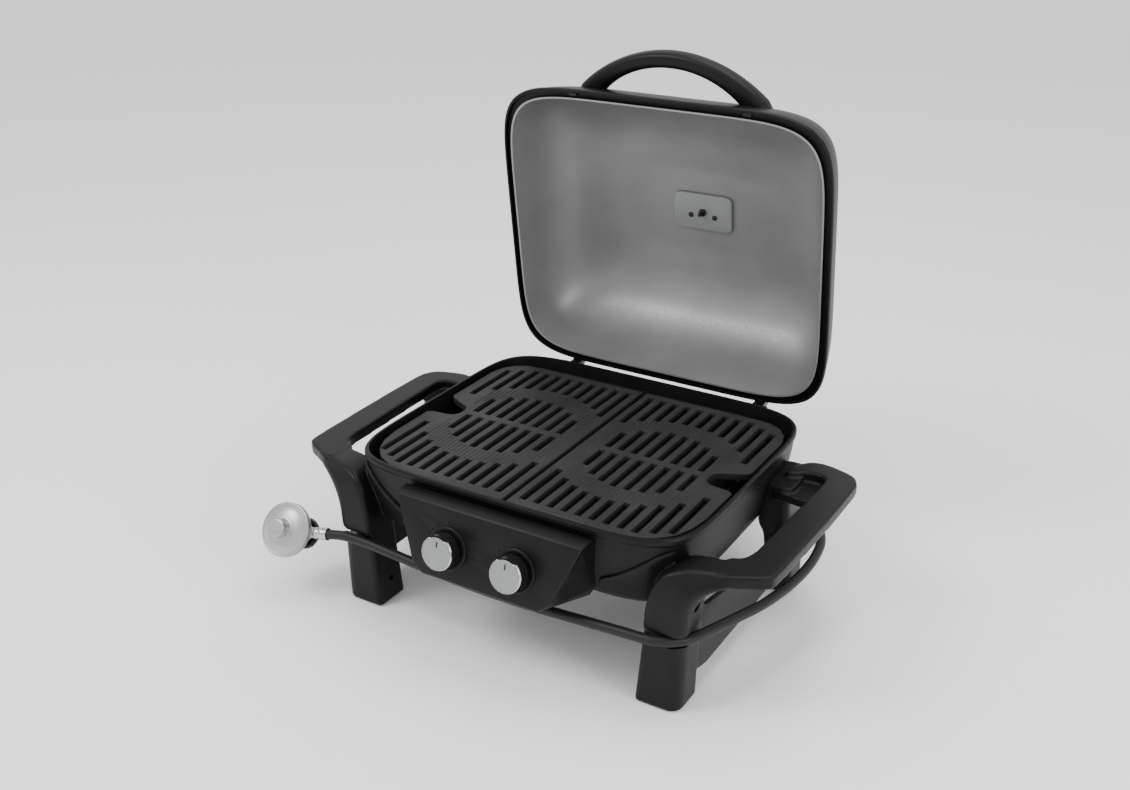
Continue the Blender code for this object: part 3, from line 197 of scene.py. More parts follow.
def finish(name, colour, roughness, metallic=0.0, grain=900.0, bump=0.15, mottle=0.15, gloss_spread=0.08,
           stretch=(1.0, 1.0, 1.0), specular=0.5):
    """A surface whose colour, gloss and relief vary with two scales of noise in the piece's own space."""
    made = bpy.data.materials.new(name)
    made.use_nodes = True
    nodes, links = made.node_tree.nodes, made.node_tree.links
    shader = nodes["Principled BSDF"]
    shader.inputs["Metallic"].default_value = metallic
    shader.inputs["Specular IOR Level"].default_value = specular
    place = nodes.new("ShaderNodeTexCoord")
    mapping = nodes.new("ShaderNodeMapping")
    mapping.inputs["Scale"].default_value = stretch
    links.new(place.outputs["Object"], mapping.inputs["Vector"])

    def noise_node(scale, detail):
        made_node = nodes.new("ShaderNodeTexNoise")
        made_node.inputs["Scale"].default_value = scale
        made_node.inputs["Detail"].default_value = detail
        links.new(mapping.outputs["Vector"], made_node.inputs["Vector"])
        return made_node

    def spread(source, low, high):
        ranged = nodes.new("ShaderNodeMapRange")
        ranged.inputs["From Min"].default_value = 0.3
        ranged.inputs["From Max"].default_value = 0.7
        ranged.inputs["To Min"].default_value = low
        ranged.inputs["To Max"].default_value = high
        links.new(source, ranged.inputs["Value"])
        return ranged.outputs["Result"]

    fine, broad = noise_node(grain, 3.0), noise_node(grain / 40.0, 4.0)
    mix = nodes.new("ShaderNodeMix")
    mix.data_type = "RGBA"
    mix.inputs["A"].default_value = (*[c * (1 - mottle) for c in colour], 1.0)
    mix.inputs["B"].default_value = (*[min(1.0, c * (1 + mottle)) for c in colour], 1.0)
    links.new(spread(broad.outputs["Fac"], 0.0, 1.0), mix.inputs["Factor"])
    links.new(mix.outputs["Result"], shader.inputs["Base Color"])
    links.new(spread(fine.outputs["Fac"], roughness - gloss_spread, roughness + gloss_spread),
              shader.inputs["Roughness"])
    relief = nodes.new("ShaderNodeBump")
    relief.inputs["Strength"].default_value = bump
    relief.inputs["Distance"].default_value = 0.0004
    links.new(fine.outputs["Fac"], relief.inputs["Height"])
    links.new(relief.outputs["Normal"], shader.inputs["Normal"])
    return made


CAST_BLACK = finish("cast_black", (0.0048, 0.0048, 0.0050), 0.42, 0.0, 800, 0.12, 0.25, 0.07, specular=0.16)
CAST_GREY = finish("cast_grey", (0.255, 0.255, 0.258), 0.46, 0.55, 520, 0.16, 0.08, 0.08)
MOULDED = finish("moulded_black", (0.0052, 0.0052, 0.0055), 0.40, 0.0, 1500, 0.20, 0.14, 0.06, specular=0.17)
ENAMEL_IRON = finish("enamelled_iron", (0.0185, 0.0185, 0.0190), 0.52, 0.0, 800, 0.32, 0.24, 0.08,
                     specular=0.25)
SHEET_BLACK = finish("sheet_black", (0.0080, 0.0080, 0.0083), 0.38, 0.2, 900, 0.08, 0.18, 0.07, specular=0.22)
PLATED = finish("plated_steel", (0.0380, 0.0380, 0.0395), 0.34, 0.9, 1100, 0.08, 0.22, 0.08)
STAINLESS = finish("brushed_stainless", (0.480, 0.470, 0.460), 0.28, 1.0, 700, 0.03, 0.08, 0.07,
                   (1.0, 0.12, 1.0))
CHROME = finish("satin_chrome", (0.560, 0.565, 0.570), 0.18, 1.0, 900, 0.03, 0.05, 0.05)
DARK_CHROME = finish("dark_chrome", (0.0700, 0.0710, 0.0730), 0.20, 0.9, 900, 0.03, 0.10, 0.05)
SILVER_FACE = finish("silver_face", (0.270, 0.276, 0.278), 0.42, 0.45, 1400, 0.06, 0.06, 0.06)
BEAD_BLAST = finish("bead_blasted", (0.420, 0.420, 0.417), 0.34, 0.80, 1600, 0.18, 0.07, 0.08)
BRASS = finish("machined_brass", (0.560, 0.400, 0.170), 0.30, 1.0, 700, 0.08, 0.12, 0.08)
CERAMIC = finish("glazed_ceramic", (0.720, 0.700, 0.640), 0.25, 0.0, 500, 0.05, 0.06, 0.06)
RUBBER = finish("black_rubber", (0.0085, 0.0085, 0.0088), 0.46, 0.0, 1300, 0.22, 0.16, 0.08, specular=0.28)
GLOSS_BLACK = finish("gloss_black", (0.0080, 0.0080, 0.0085), 0.24, 0.0, 900, 0.04, 0.14, 0.05)
DIAL_CARD = finish("dial_card", (0.740, 0.740, 0.720), 0.45, 0.0, 900, 0.03, 0.04, 0.05)


# ---- mesh helpers ----

def mesh_object(name, mesh, material=None, sharp=35.0):
    if material:
        mesh.materials.clear()
        mesh.materials.append(material)
    mesh.shade_smooth()
    mesh.set_sharp_from_angle(angle=math.radians(sharp))
    made = bpy.data.objects.new(name, mesh)
    bpy.context.scene.collection.objects.link(made)
    return made


def loft(name, rings, closed=False, transform=None):
    """Skin over equal rings of points: capped at both ends, or joined round to the first ring."""
    count = len(rings[0])
    verts = [tuple(p) for ring in rings for p in ring]
    faces = []
    for a in range(len(rings) if closed else len(rings) - 1):
        b = (a + 1) % len(rings)
        for i in range(count):
            j = (i + 1) % count
            faces.append((a * count + i, a * count + j, b * count + j, b * count + i))
    if not closed:
        faces.append(tuple(range(count)))
        faces.append(tuple((len(rings) - 1) * count + i for i in range(count)))
    mesh = bpy.data.meshes.new(name)
    mesh.from_pydata(verts, [], faces)
    shape = bmesh.new()
    shape.from_mesh(mesh)
    bmesh.ops.recalc_face_normals(shape, faces=shape.faces)
    shape.to_mesh(mesh)
    shape.free()
    mesh.transform(transform if transform else Matrix.Translation(SHIFT))
    return mesh


def curve_through(points, steps):
    """Catmull-Rom points through a list of equal tuples, of any length."""
    points = [tuple(p) for p in points]
    first = tuple(2 * a - b for a, b in zip(points[0], points[1]))
    last = tuple(2 * a - b for a, b in zip(points[-1], points[-2]))
    ends = [first, *points, last]
    fine = []
    for a, b, c, d in zip(ends, ends[1:], ends[2:], ends[3:]):
        for k in range(steps):
            t = k / steps
            fine.append(tuple(0.5 * (2 * q + (r - p) * t + (2 * p - 5 * q + 4 * r - s) * t * t
                                     + (3 * q - p - 3 * r + s) * t ** 3) for p, q, r, s in zip(a, b, c, d)))
    fine.append(points[-1])
    return fine


def rounded(half_x, half_y, centre_y, z, power=RIM_POWER, count=RING_POINTS):
    ring = []
    for i in range(count):
        angle = 2 * math.pi * (i + 0.5) / count
        c, s = math.cos(angle), math.sin(angle)
        x = math.copysign(abs(c) ** (2 / power), c) * half_x
        y = math.copysign(abs(s) ** (2 / power), s) * half_y
        ring.append(Vector((x, centre_y + y, z)))
    return ring


def basis(direction):
    across = Vector((1.0, 0.0, 0.0)) if abs(direction.x) < 0.8 else Vector((0.0, 1.0, 0.0))
    first = (across - direction * across.dot(direction)).normalized()
    return first, direction.cross(first)


def turned(name, start, direction, profile, sides=64, flute=None, transform=None, closed=False):
    """A turned solid from (along, radius) pairs; flute gives (count, depth) of smooth scallops round it."""
    direction = Vector(direction).normalized()
    first, second = basis(direction)
    rings = []
    for along, radius in profile:
        ring = []
        for i in range(sides):
            angle = 2 * math.pi * i / sides
            cut = 1.0
            if flute and radius > 0.6 * max(r for _, r in profile):
                cut = 1.0 - flute[1] * max(0.0, math.cos(angle * flute[0])) ** 6
            ring.append(Vector(start) + direction * along
                        + (first * math.cos(angle) + second * math.sin(angle)) * radius * cut)
        rings.append(ring)
    return loft(name, rings, closed, transform)


def softened(profile, radius=0.0006):
    """A turned profile with its corners rounded by three points each."""
    made = [profile[0]]
    for before, corner, after in zip(profile, profile[1:], profile[2:]):
        p, c, n = Vector(before), Vector(corner), Vector(after)
        reach = min(radius, (p - c).length * 0.45, (n - c).length * 0.45)
        a, b = c + (p - c).normalized() * reach, c + (n - c).normalized() * reach
        made += [tuple(a), tuple((a + 2 * c + b) / 4), tuple(b)]
    return [*made, profile[-1]]


def sweep(name, points, radius, sides=20, closed=False, transform=None):
    points = [Vector(p) for p in points]
    count = len(points)
    rings = []
    normal = None
    for i, point in enumerate(points):
        before = points[i - 1] if closed or i else point
        after = points[(i + 1) % count] if closed or i < count - 1 else point
        along = (after - before).normalized()
        normal = basis(along)[0] if normal is None else (normal - along * normal.dot(along)).normalized()
        second = along.cross(normal)
        rings.append([point + (normal * math.cos(a) + second * math.sin(a)) * radius
                      for a in (2 * math.pi * k / sides for k in range(sides))])
    return loft(name, rings, closed, transform)


def box_mesh(name, low, high):
    corners = ((low[0], low[1]), (high[0], low[1]), (high[0], high[1]), (low[0], high[1]))
    return loft(name, [[(x, y, z) for x, y in corners] for z in (low[2], high[2])])


def baked(source):
    """The mesh that an object shows with its modifiers, and the object removed."""
    mesh = bpy.data.meshes.new_from_object(source.evaluated_get(bpy.context.evaluated_depsgraph_get()))
    bpy.data.objects.remove(source)
    return mesh


def joined(name, meshes):
    shape = bmesh.new()
    for mesh in meshes:
        shape.from_mesh(mesh)
    made = bpy.data.meshes.new(name)
    shape.to_mesh(made)
    shape.free()
    return made


def remeshed(name, mesh, voxel, smooth):
    """One skin over overlapping solids, with its edges softened."""
    source = mesh_object(name, mesh)
    remesh = source.modifiers.new("skin", "REMESH")
    remesh.mode, remesh.voxel_size = "VOXEL", voxel
    soften = source.modifiers.new("soften", "SMOOTH")
    soften.factor, soften.iterations = 0.5, smooth
    return baked(source)


def cut(mesh, tools, operation="DIFFERENCE"):
    """Cuts solid tools out of a solid, one after another, or with UNION adds them to it."""
    target = mesh_object("cut_target", mesh)
    helpers = []
    for tool in tools:
        helper = mesh_object("cut_tool", tool)
        helpers.append(helper)
        modifier = target.modifiers.new("cut", "BOOLEAN")
        modifier.operation, modifier.solver, modifier.object = operation, "MANIFOLD", helper
    made = baked(target)
    for helper in helpers:
        bpy.data.objects.remove(helper)
    return made


def node_mesh(node):
    """A copy of a CAD node's mesh, with its split edges welded and its flat faces whole."""
    shape = bmesh.new()
    shape.from_mesh(frame["nodes"][node].data)
    bmesh.ops.remove_doubles(shape, verts=shape.verts, dist=1e-6)
    bmesh.ops.dissolve_limit(shape, angle_limit=math.radians(0.5), verts=shape.verts, edges=shape.edges)
    mesh = bpy.data.meshes.new(node)
    shape.to_mesh(mesh)
    shape.free()
    return mesh


BODY_OF = {n: body for body, members in frame["record"]["behaviour"]["bodies"].items() for n in members}


def stand_for(node, mesh, material, sharp=35.0):
    """Shows a finer mesh in a CAD node's place, on its body, and hides the node."""
    piece = mesh_object(f"{node}_fine", mesh, material, sharp)
    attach(piece, BODY_OF[node])
    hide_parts(node)
    return piece


def detail(name, mesh, material, like, sharp=35.0):
    """A piece with no CAD node of its own, on the same body as a node."""
    piece = mesh_object(name, mesh, material, sharp)
    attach(piece, BODY_OF[like])
    return piece


def bevelled(node, width, material, segments=2, angle=40.0):
    source = mesh_object(f"{node}_source", node_mesh(node))
    bevel = source.modifiers.new("edges", "BEVEL")
    bevel.width, bevel.segments = width, segments
    bevel.limit_method, bevel.angle_limit = "ANGLE", math.radians(angle)
    bevel.harden_normals = False
    return stand_for(node, baked(source), material)


def moulded(node, voxel, smooth, material):
    return stand_for(node, remeshed(node, node_mesh(node), voxel, smooth), material, 60.0)


# ---- firebox and lid ----

def refined(profile, kinks=()):
    """A wall profile with smooth stretches between its kinks."""
    cuts = [0, *kinks, len(profile) - 1]
    made = []
    for a, b in zip(cuts, cuts[1:]):
        stretch = profile[a:b + 1]
        made += (curve_through(stretch, PROFILE_STEPS) if len(stretch) > 2 else list(stretch))[:-1]
    return [*made, profile[-1]]


def firebox_ring(z, inset):
    return rounded(RIM_HALF_X - inset, RIM_HALF_Y - inset, RIM_CENTRE_Y, z)


def firebox_solid(name, grow):
    """The firebox's outside as a solid, larger all round by grow."""
    rings = [firebox_ring(z + (grow if k == 0 else 0.0), inset - grow)
             for k, (z, inset) in enumerate(refined(FIREBOX_OUTSIDE, kinks=(1, 2, 3)))]
    return loft(name, rings)


def make_firebox():
    outside = [firebox_ring(z, inset) for z, inset in refined(FIREBOX_OUTSIDE, kinks=(1, 2, 3))]
    inside = [firebox_ring(z, inset) for z, inset in refined(FIREBOX_INSIDE)]
    shell = loft("firebox", [*reversed(outside), *inside])
    tools = [turned("hole", DRAIN_HOLE, (0, 0, 1), ((0.0, DRAIN_RADIUS), (0.0300, DRAIN_RADIUS)), 32)]
    for _, side in SIDES:
        tools.append(turned("hole", (side * BURNER_INLET_X, -0.2300, BURNER_Z), (0, 1, 0),
                            ((0.0, BURNER_HOLE_RADIUS), (0.0800, BURNER_HOLE_RADIUS)), 32))
    shell = cut(shell, tools)
    rib = box_mesh("rib", (-0.0045, -0.1500, 0.1135), (0.0045, 0.1640, 0.1290))
    stand_for("firebox", cut(shell, [rib], "UNION"), CAST_BLACK, 30.0)


def lid_ring(height, inset):
    return rounded(LID_HALF_X - inset, LID_HALF_Y - inset, RIM_CENTRE_Y - PIN.y, LID_RIM_Z - PIN.z + height)


def lid_place(x, back, height):
    """A point of the closed lid from its hinge pin: from its rear edge, and over its rim."""
    return Vector((x, RIM_CENTRE_Y + LID_HALF_Y - PIN.y - back, LID_RIM_Z - PIN.z + height))


def crown(height, inset, steps=7):
    """Rings that shrink over the flat middle of the lid's top."""
    rings = []
    for k in range(1, steps):
        share = 1.0 - k / steps
        rings.append(rounded((LID_HALF_X - inset) * share, (LID_HALF_Y - inset) * share,
                             RIM_CENTRE_Y - PIN.y, LID_RIM_Z - PIN.z + height))
    return rings


def lid_solid(name):
    return loft(name, [lid_ring(height, inset) for height, inset in refined(LID_OUTSIDE, kinks=(1, 2, 3))],
                transform=LID_OPEN)


def make_lid():
    """A black shell, grey from the inner side of its rim channel inwards."""
    outside = [lid_ring(height, inset) for height, inset in refined(LID_OUTSIDE, kinks=(1, 2, 3))]
    inside = [lid_ring(height, inset) for height, inset in refined(LID_INSIDE, kinks=(1, 2, 3, 4))]
    outer_cap, inner_cap = crown(*LID_OUTSIDE[-1]), crown(*LID_INSIDE[-1])
    rings = [*reversed(outer_cap), *reversed(outside), *inside, *inner_cap]
    shell = loft("lid_shell", rings, transform=LID_OPEN)
    lid = stand_for("lid_shell", shell, CAST_BLACK, 40.0)
    lid.data.materials.append(CAST_GREY)
    count = len(rings[0])
    first_inner = (len(outer_cap) + len(outside) + 3) * count
    for face in lid.data.polygons:
        if min(face.vertices) >= first_inner:
            face.material_index = 1


def make_lid_handle():
    """An arch that widens where it meets the lid."""
    arc_radius, half_span, apex, height = 0.1720, 0.1250, 0.4640, 0.0500
    ends = math.asin(half_span / arc_radius)
    steps = 70
    path = []
    for k in range(steps + 1):
        angle = -ends + 2 * ends * k / steps
        path.append((math.sin(angle) * arc_radius, apex - arc_radius * (1 - math.cos(angle)), angle))
    path = [(-0.1320, 0.3960, -1.25), *path, (0.1320, 0.3960, 1.25)]
    rings = []
    for x, back, angle in path:
        out = Vector((math.sin(angle), math.cos(angle)))
        flare = min(1.0, abs(x) / half_span) ** 3
        thick, tall = 0.0110 + 0.0040 * flare, 0.0130 + 0.0020 * flare
        ring = []
        for k in range(40):
            a = 2 * math.pi * k / 40
            r = math.copysign(abs(math.cos(a)) ** 0.7, math.cos(a)) * thick
            h = math.copysign(abs(math.sin(a)) ** 0.7, math.sin(a)) * tall
            ring.append(lid_place(x + out.x * r, back + out.y * r, height + h))
        rings.append(ring)
    arch = cut(loft("lid_handle", rings, transform=LID_OPEN), [lid_solid("lid_cutter")])
    stand_for("lid_handle", arch, MOULDED, 50.0)


def make_lid_fittings():
    bezel = softened(((0.0, 0.0240), (0.0, 0.0280), (0.0060, 0.0280), (0.0085, 0.0262), (0.0085, 0.0235),
                      (0.0066, 0.0230), (0.0066, 0.0150)))
    dial = turned("dial", lid_place(0.0, THERMOMETER_BACK, LID_DEPTH + 0.0003), (0, 0, 1), bezel,
                  transform=LID_OPEN)
    stand_for("thermometer_dial", dial, STAINLESS)
    card = turned("card", lid_place(0.0, THERMOMETER_BACK, LID_DEPTH + 0.0066), (0, 0, 1),
                  ((0.0, 0.0229), (0.0004, 0.0229)), transform=LID_OPEN)
    detail("dial_card", card, DIAL_CARD, "thermometer_dial")
    marks = []
    for k in range(21):
        turn = math.radians(-135 + 270 * k / 20)
        reach = 0.0205 if k % 5 else 0.0190
        spoke = Vector((math.sin(turn), -math.cos(turn), 0.0))
        a, b = (lid_place(0.0, THERMOMETER_BACK, LID_DEPTH + 0.0071) + spoke * r for r in (reach, 0.0218))
        marks.append(sweep("tick", (a, b), 0.0003, 6, transform=LID_OPEN))
    marks.append(turned("hub", lid_place(0.0, THERMOMETER_BACK, LID_DEPTH + 0.0070), (0, 0, 1),
                        ((0.0, 0.0024), (0.0012, 0.0020)), 24, transform=LID_OPEN))
    needle = Vector((math.sin(-2.2), -math.cos(-2.2), 0.0))
    hub = lid_place(0.0, THERMOMETER_BACK, LID_DEPTH + 0.0078)
    marks.append(sweep("needle", (hub - needle * 0.0050, hub + needle * 0.0170), 0.0005, 8,
                       transform=LID_OPEN))
    detail("dial_marks", joined("dial_marks", marks), GLOSS_BLACK, "thermometer_dial")

    top = lid_place(0.0, THERMOMETER_BACK, LID_INSIDE[-1][0] - 0.0003)
    rings = []
    for grow, drop in ((1.0, 0.0), (1.0, 0.0040), (0.985, 0.0050), (0.95, 0.0052)):
        outline = rounded(0.0460 * grow, 0.0280 * (1 - (1 - grow) * 1.6), 0.0, 0.0, 9.0, 96)
        rings.append([top + Vector((p.x, p.y, -drop)) for p in outline])
    stand_for("thermometer_plate", loft("plate", rings, transform=LID_OPEN), SILVER_FACE, 30.0)
    nut = top + Vector((0.0, 0.0, -0.0053))
    hexagon = softened(((0.0, 0.0060), (0.0038, 0.0060), (0.0040, 0.0030)))
    stem = softened(((0.0, 0.0026), (0.0120, 0.0026), (0.0120, 0.0010)), 0.0003)
    stand_for("thermometer_nut", joined("nut", [
        turned("hex", nut, (0, 0, -1), hexagon, 6, transform=LID_OPEN),
        turned("stem", nut, (0, 0, -1), stem, 24, transform=LID_OPEN)]), PLATED)
    screws = [turned("screw", nut + Vector((side * 0.0190, 0.0060, 0.0)), (0, 0, -1),
                     softened(((0.0, 0.0040), (0.0012, 0.0038), (0.0026, 0.0022), (0.0026, 0.0008))), 24,
                     transform=LID_OPEN) for _, side in SIDES]
    detail("plate_screws", joined("plate_screws", screws), PLATED, "thermometer_plate")
    for word, _ in SIDES:
        bevelled(f"{word}_lid_bumper", 0.0008, RUBBER)
        bevelled(f"{word}_lid_hinge_arm", 0.0008, PLATED)
        bevelled(f"{word}_hinge_bracket", 0.0009, PLATED)


# ---- side frames ----

def leg(name, stations, side, wide_limit=0.0170):
    """A leg through its stations, with broad rounds on its outer front edge and small ones elsewhere."""
    rings = []
    for inner_x, inner_z, outer_x, outer_z, front, rear in curve_through(stations, 8):
        inner, outer = Vector((side * inner_x, 0.0, inner_z)), Vector((side * outer_x, 0.0, outer_z))
        across = outer - inner
        wide = min(wide_limit, across.length * 0.55, (rear - front) * 0.55)
        small = min(0.0060, across.length * 0.25)
        ring = []
        for radius, at_outer, at_front in ((wide, 1, 1), (small, 1, 0), (small, 0, 0), (small, 0, 1)):
            corner_x = 1.0 - radius / across.length if at_outer else radius / across.length
            corner_y = front + radius if at_front else rear - radius
            for k in range(7):
                turn = math.pi / 2 * k / 6
                toward_x, toward_y = ((math.sin(turn), math.cos(turn)) if at_outer == at_front
                                      else (math.cos(turn), math.sin(turn)))
                share = corner_x + (1 if at_outer else -1) * toward_x * radius / across.length
                y = corner_y + (-1 if at_front else 1) * toward_y * radius
                point = inner + across * share
                ring.append(Vector((point.x, y, point.z)))
        rings.append(ring)
    return loft(name, rings)


def smooth_outline(points):
    """A closed outline rounded through its points."""
    steps = 5
    looped = [points[-1], *points, points[0], points[1]]
    fine = curve_through(looped, steps)
    return fine[steps:steps * (len(points) + 1)]


def prism(name, outline, low, high, axis="Z"):
    def place(point, height):
        a, b = point
        return (a, b, height) if axis == "Z" else (height, a, b)
    return loft(name, [[place(p, h) for p in outline] for h in (low, high)])


def frame_flange(name, side):
    """The frame's flange that wraps round the firebox's front corner."""
    rings = []
    start, end = math.radians(-80), math.radians(-38)
    for k in range(41):
        share = k / 40
        angle = start + (end - start) * share
        top = 0.1500 + 0.0540 * math.sin(share * math.pi / 2)
        ring = []
        for z, out in ((0.1270, -0.0020), (0.1270, 0.0042), (top, 0.0042), (top, -0.0020)):
            reach = inset_at(z) - out
            c, s = math.cos(angle), math.sin(angle)
            x = math.copysign(abs(c) ** (2 / RIM_POWER), c) * (RIM_HALF_X - reach)
            y = RIM_CENTRE_Y + math.copysign(abs(s) ** (2 / RIM_POWER), s) * (RIM_HALF_Y - reach)
            ring.append(Vector((side * x, y, z)))
        rings.append(ring)
    return loft(name, rings)


def inset_at(z):
    """How far the firebox's outside lies within its rim at a height."""
    for (z0, in0), (z1, in1) in zip(FIREBOX_OUTSIDE, FIREBOX_OUTSIDE[1:]):
        if min(z0, z1) <= z <= max(z0, z1) and z0 != z1:
            return in0 + (in1 - in0) * (z - z0) / (z1 - z0)
    return FIREBOX_OUTSIDE[-1][1]


def mirrored(points, side):
    return [(side * p[0], *p[1:]) for p in points]


def make_side_frame(word, side):
    strap = smooth_outline(mirrored(SIDE_HANDLE, side))
    solids = [
        leg("front_leg", FRONT_LEG, side),
        leg("rear_leg", REAR_LEG, side, 0.0080),
        prism("strap", strap, HANDLE_TOP_Z - HANDLE_THICKNESS, HANDLE_TOP_Z),
        prism("web", mirrored(REAR_WEB, side), 0.1680, 0.1800),
        prism("panel", SIDE_PANEL, *sorted((side * 0.2425, side * 0.2505)), axis="X"),
        frame_flange("flange", side),
    ]
    body = remeshed(f"{word}_side_frame", joined("frame_solids", solids), 0.0018, 9)
    tools = [firebox_solid("firebox_cutter", 0.0006),
             sweep("groove", curve_through(mirrored(HOSE_ROUTE[HOSE_GROOVE], side), 5), GROOVE_RADIUS, 32)]
    for _, y, outer, _ in FRAME_SCREWS:
        tools.append(turned("screw_hole", (side * 0.2750, y, SCREW_Z), (-side, 0, 0),
                            ((0.0, 0.0072), (0.2750 - outer + 0.0090, 0.0072)), 40))
    tools.append(turned("tie_hole", (side * 0.1800, -0.1700, 0.0320), (side, 0, 0),
                        ((0.0, 0.0040), (0.0250, 0.0040)), 24))
    for x, y in FOOT_PADS:
        tools.append(box_mesh("pad_pocket", (side * x - 0.0153, y - 0.0123, -0.0100),
                              (side * x + 0.0153, y + 0.0123, 0.0068)))
    stand_for(f"{word}_side_frame", cut(body, tools), MOULDED, 45.0)
    for place, y, outer, inner in FRAME_SCREWS:
        head = outer - 0.0086
        profile = softened(((-0.0046, 0.0010), (-0.0044, 0.0034), (-0.0036, 0.0054), (-0.0024, 0.0060),
                            (-0.0003, 0.0060), (-0.0003, 0.0028), (head - inner, 0.0028)), 0.0004)
        screw = turned("screw", (side * head, y, SCREW_Z), (-side, 0, 0), profile, 32)
        middle = side * (head + 0.0048)
        slots = [box_mesh("slot", (middle - 0.0022, y - a, SCREW_Z - b),
                          (middle + 0.0022, y + a, SCREW_Z + b))
                 for a, b in ((0.0035, 0.0006), (0.0006, 0.0035))]
        stand_for(f"{word}_{place}_frame_screw", cut(screw, slots), PLATED)
        bevelled(f"{word}_{place}_foot_pad", 0.0010, RUBBER)


# ---- control panel and knobs ----

def face_point(x, down, out):
    return Vector((x, 0.0, 0.0)) + FACE_TOP + FACE_DOWN * down + FACE_OUT * out


def face_arc(name, centre, radius, start, end, thick, steps=16):
    """A thin raised arc on the panel's face, angles clockwise from the top."""
    across = Vector((1.0, 0.0, 0.0))
    points = []
    for k in range(steps + 1):
        turn = math.radians(start + (end - start) * k / steps)
        points.append(centre + across * math.sin(turn) * radius - FACE_DOWN * math.cos(turn) * radius)
    return sweep(name, points, thick, 8)


def make_panel():
    """The panel, with a ring above each knob and dots that shrink round its side."""
    bevelled("control_panel", 0.0016, MOULDED, 3, 25.0)
    marks = []
    for _, side in SIDES:
        centre = face_point(side * KNOB_X, KNOB_DROP, 0.0002)
        off = centre - FACE_DOWN * 0.0325
        marks.append(face_arc("off_ring", off, 0.0020, 0, 345, 0.00035, 20))
        for k in range(7):
            turn = math.radians(-38 - 17 * k)
            dot = centre + Vector((math.sin(turn) * 0.0315, 0, 0)) - FACE_DOWN * math.cos(turn) * 0.0315
            marks.append(turned("dot", dot - FACE_OUT * 0.0003, FACE_OUT,
                                ((0.0, 0.0019 - 0.0002 * k), (0.0006, 0.0019 - 0.0002 * k)), 20))
    detail("panel_marks", joined("panel_marks", marks), SHEET_BLACK, "control_panel")


def make_knob(word, side):
    """A fluted knob with a plated rim and a flat face cut by a chord over its pointer."""
    centre = face_point(side * KNOB_X, KNOB_DROP, 0.0)
    back, front = KNOB_STANDOFF, KNOB_STANDOFF + KNOB_DEPTH
    r = KNOB_RADIUS
    side_way = FACE_OUT.cross(FACE_DOWN)

    def chord(reach, depth):
        low = centre - FACE_DOWN * reach + FACE_OUT * (front - depth)
        corners = ((-0.03, 0.0), (0.03, 0.0), (0.03, 0.02), (-0.03, 0.02))
        return loft("chord", [[low + side_way * u - FACE_DOWN * v + FACE_OUT * w for u, v in corners]
                              for w in (0.0, 0.02)])

    profile = [(back + 0.0100, 0.0038), (back, 0.0038), (back, r - 0.0006), (back + 0.0012, r),
               (front - 0.0060, r - 0.0005), (front - 0.0016, r - 0.0009), (front - 0.0002, r - 0.0022),
               (front - 0.0002, r - 0.0034), (front - 0.0010, r - 0.0040)]
    body = turned("knob", centre, FACE_OUT, softened(profile, 0.0005), 240, flute=(12, 0.035))
    stand_for(f"{word}_knob", cut(body, [chord(0.0170, 0.0065)]), DARK_CHROME, 30.0)
    disc = softened(((front - 0.0014, r - 0.0022), (front - 0.0003, r - 0.0022),
                     (front + 0.0002, r - 0.0030), (front + 0.0002, 0.0040)), 0.0003)
    face = turned("face", centre, FACE_OUT, disc, 96)
    detail(f"{word}_knob_face", cut(face, [chord(0.0163, 0.0200)]), SILVER_FACE, f"{word}_knob")
    tip = centre + FACE_OUT * (front + 0.0001)
    line = sweep("pointer", (tip - FACE_DOWN * 0.0148, tip - FACE_DOWN * 0.0080), 0.0011, 12)
    detail(f"{word}_knob_pointer", line, GLOSS_BLACK, f"{word}_knob")
    lip = softened(((front - 0.0026, r - 0.0004), (front - 0.0010, r - 0.0010),
                    (front - 0.0001, r - 0.0019), (front - 0.0020, r - 0.0026)), 0.0003)
    ridge = turned("ridge", centre, FACE_OUT, lip, 160, closed=True)
    bar = sweep("bar", [centre - FACE_DOWN * 0.0166 + side_way * u + FACE_OUT * (front - 0.0007)
                        for u in (-0.0122, 0.0122)], 0.0008, 12)
    rim = joined("rim", [cut(ridge, [chord(0.0170, 0.0100)]), bar])
    detail(f"{word}_knob_rim", rim, CHROME, f"{word}_knob")
    bezel = softened(((0.0003, 0.0085), (0.0003, 0.0280), (0.0012, 0.0280), (0.0021, 0.0262),
                      (0.0021, 0.0242), (0.0012, 0.0236), (0.0012, 0.0085)), 0.0004)
    stand_for(f"{word}_knob_bezel", turned("bezel", centre, FACE_OUT, bezel, 120, closed=True), MOULDED, 30.0)
    stem = softened(((-0.0120, 0.0035), (0.0140, 0.0035), (0.0140, 0.0010)), 0.0004)
    stand_for(f"{word}_valve_stem", turned("stem", centre, FACE_OUT, stem, 32), PLATED)
    bevelled(f"{word}_gas_valve", 0.0005, BRASS)


# ---- cooking surfaces ----

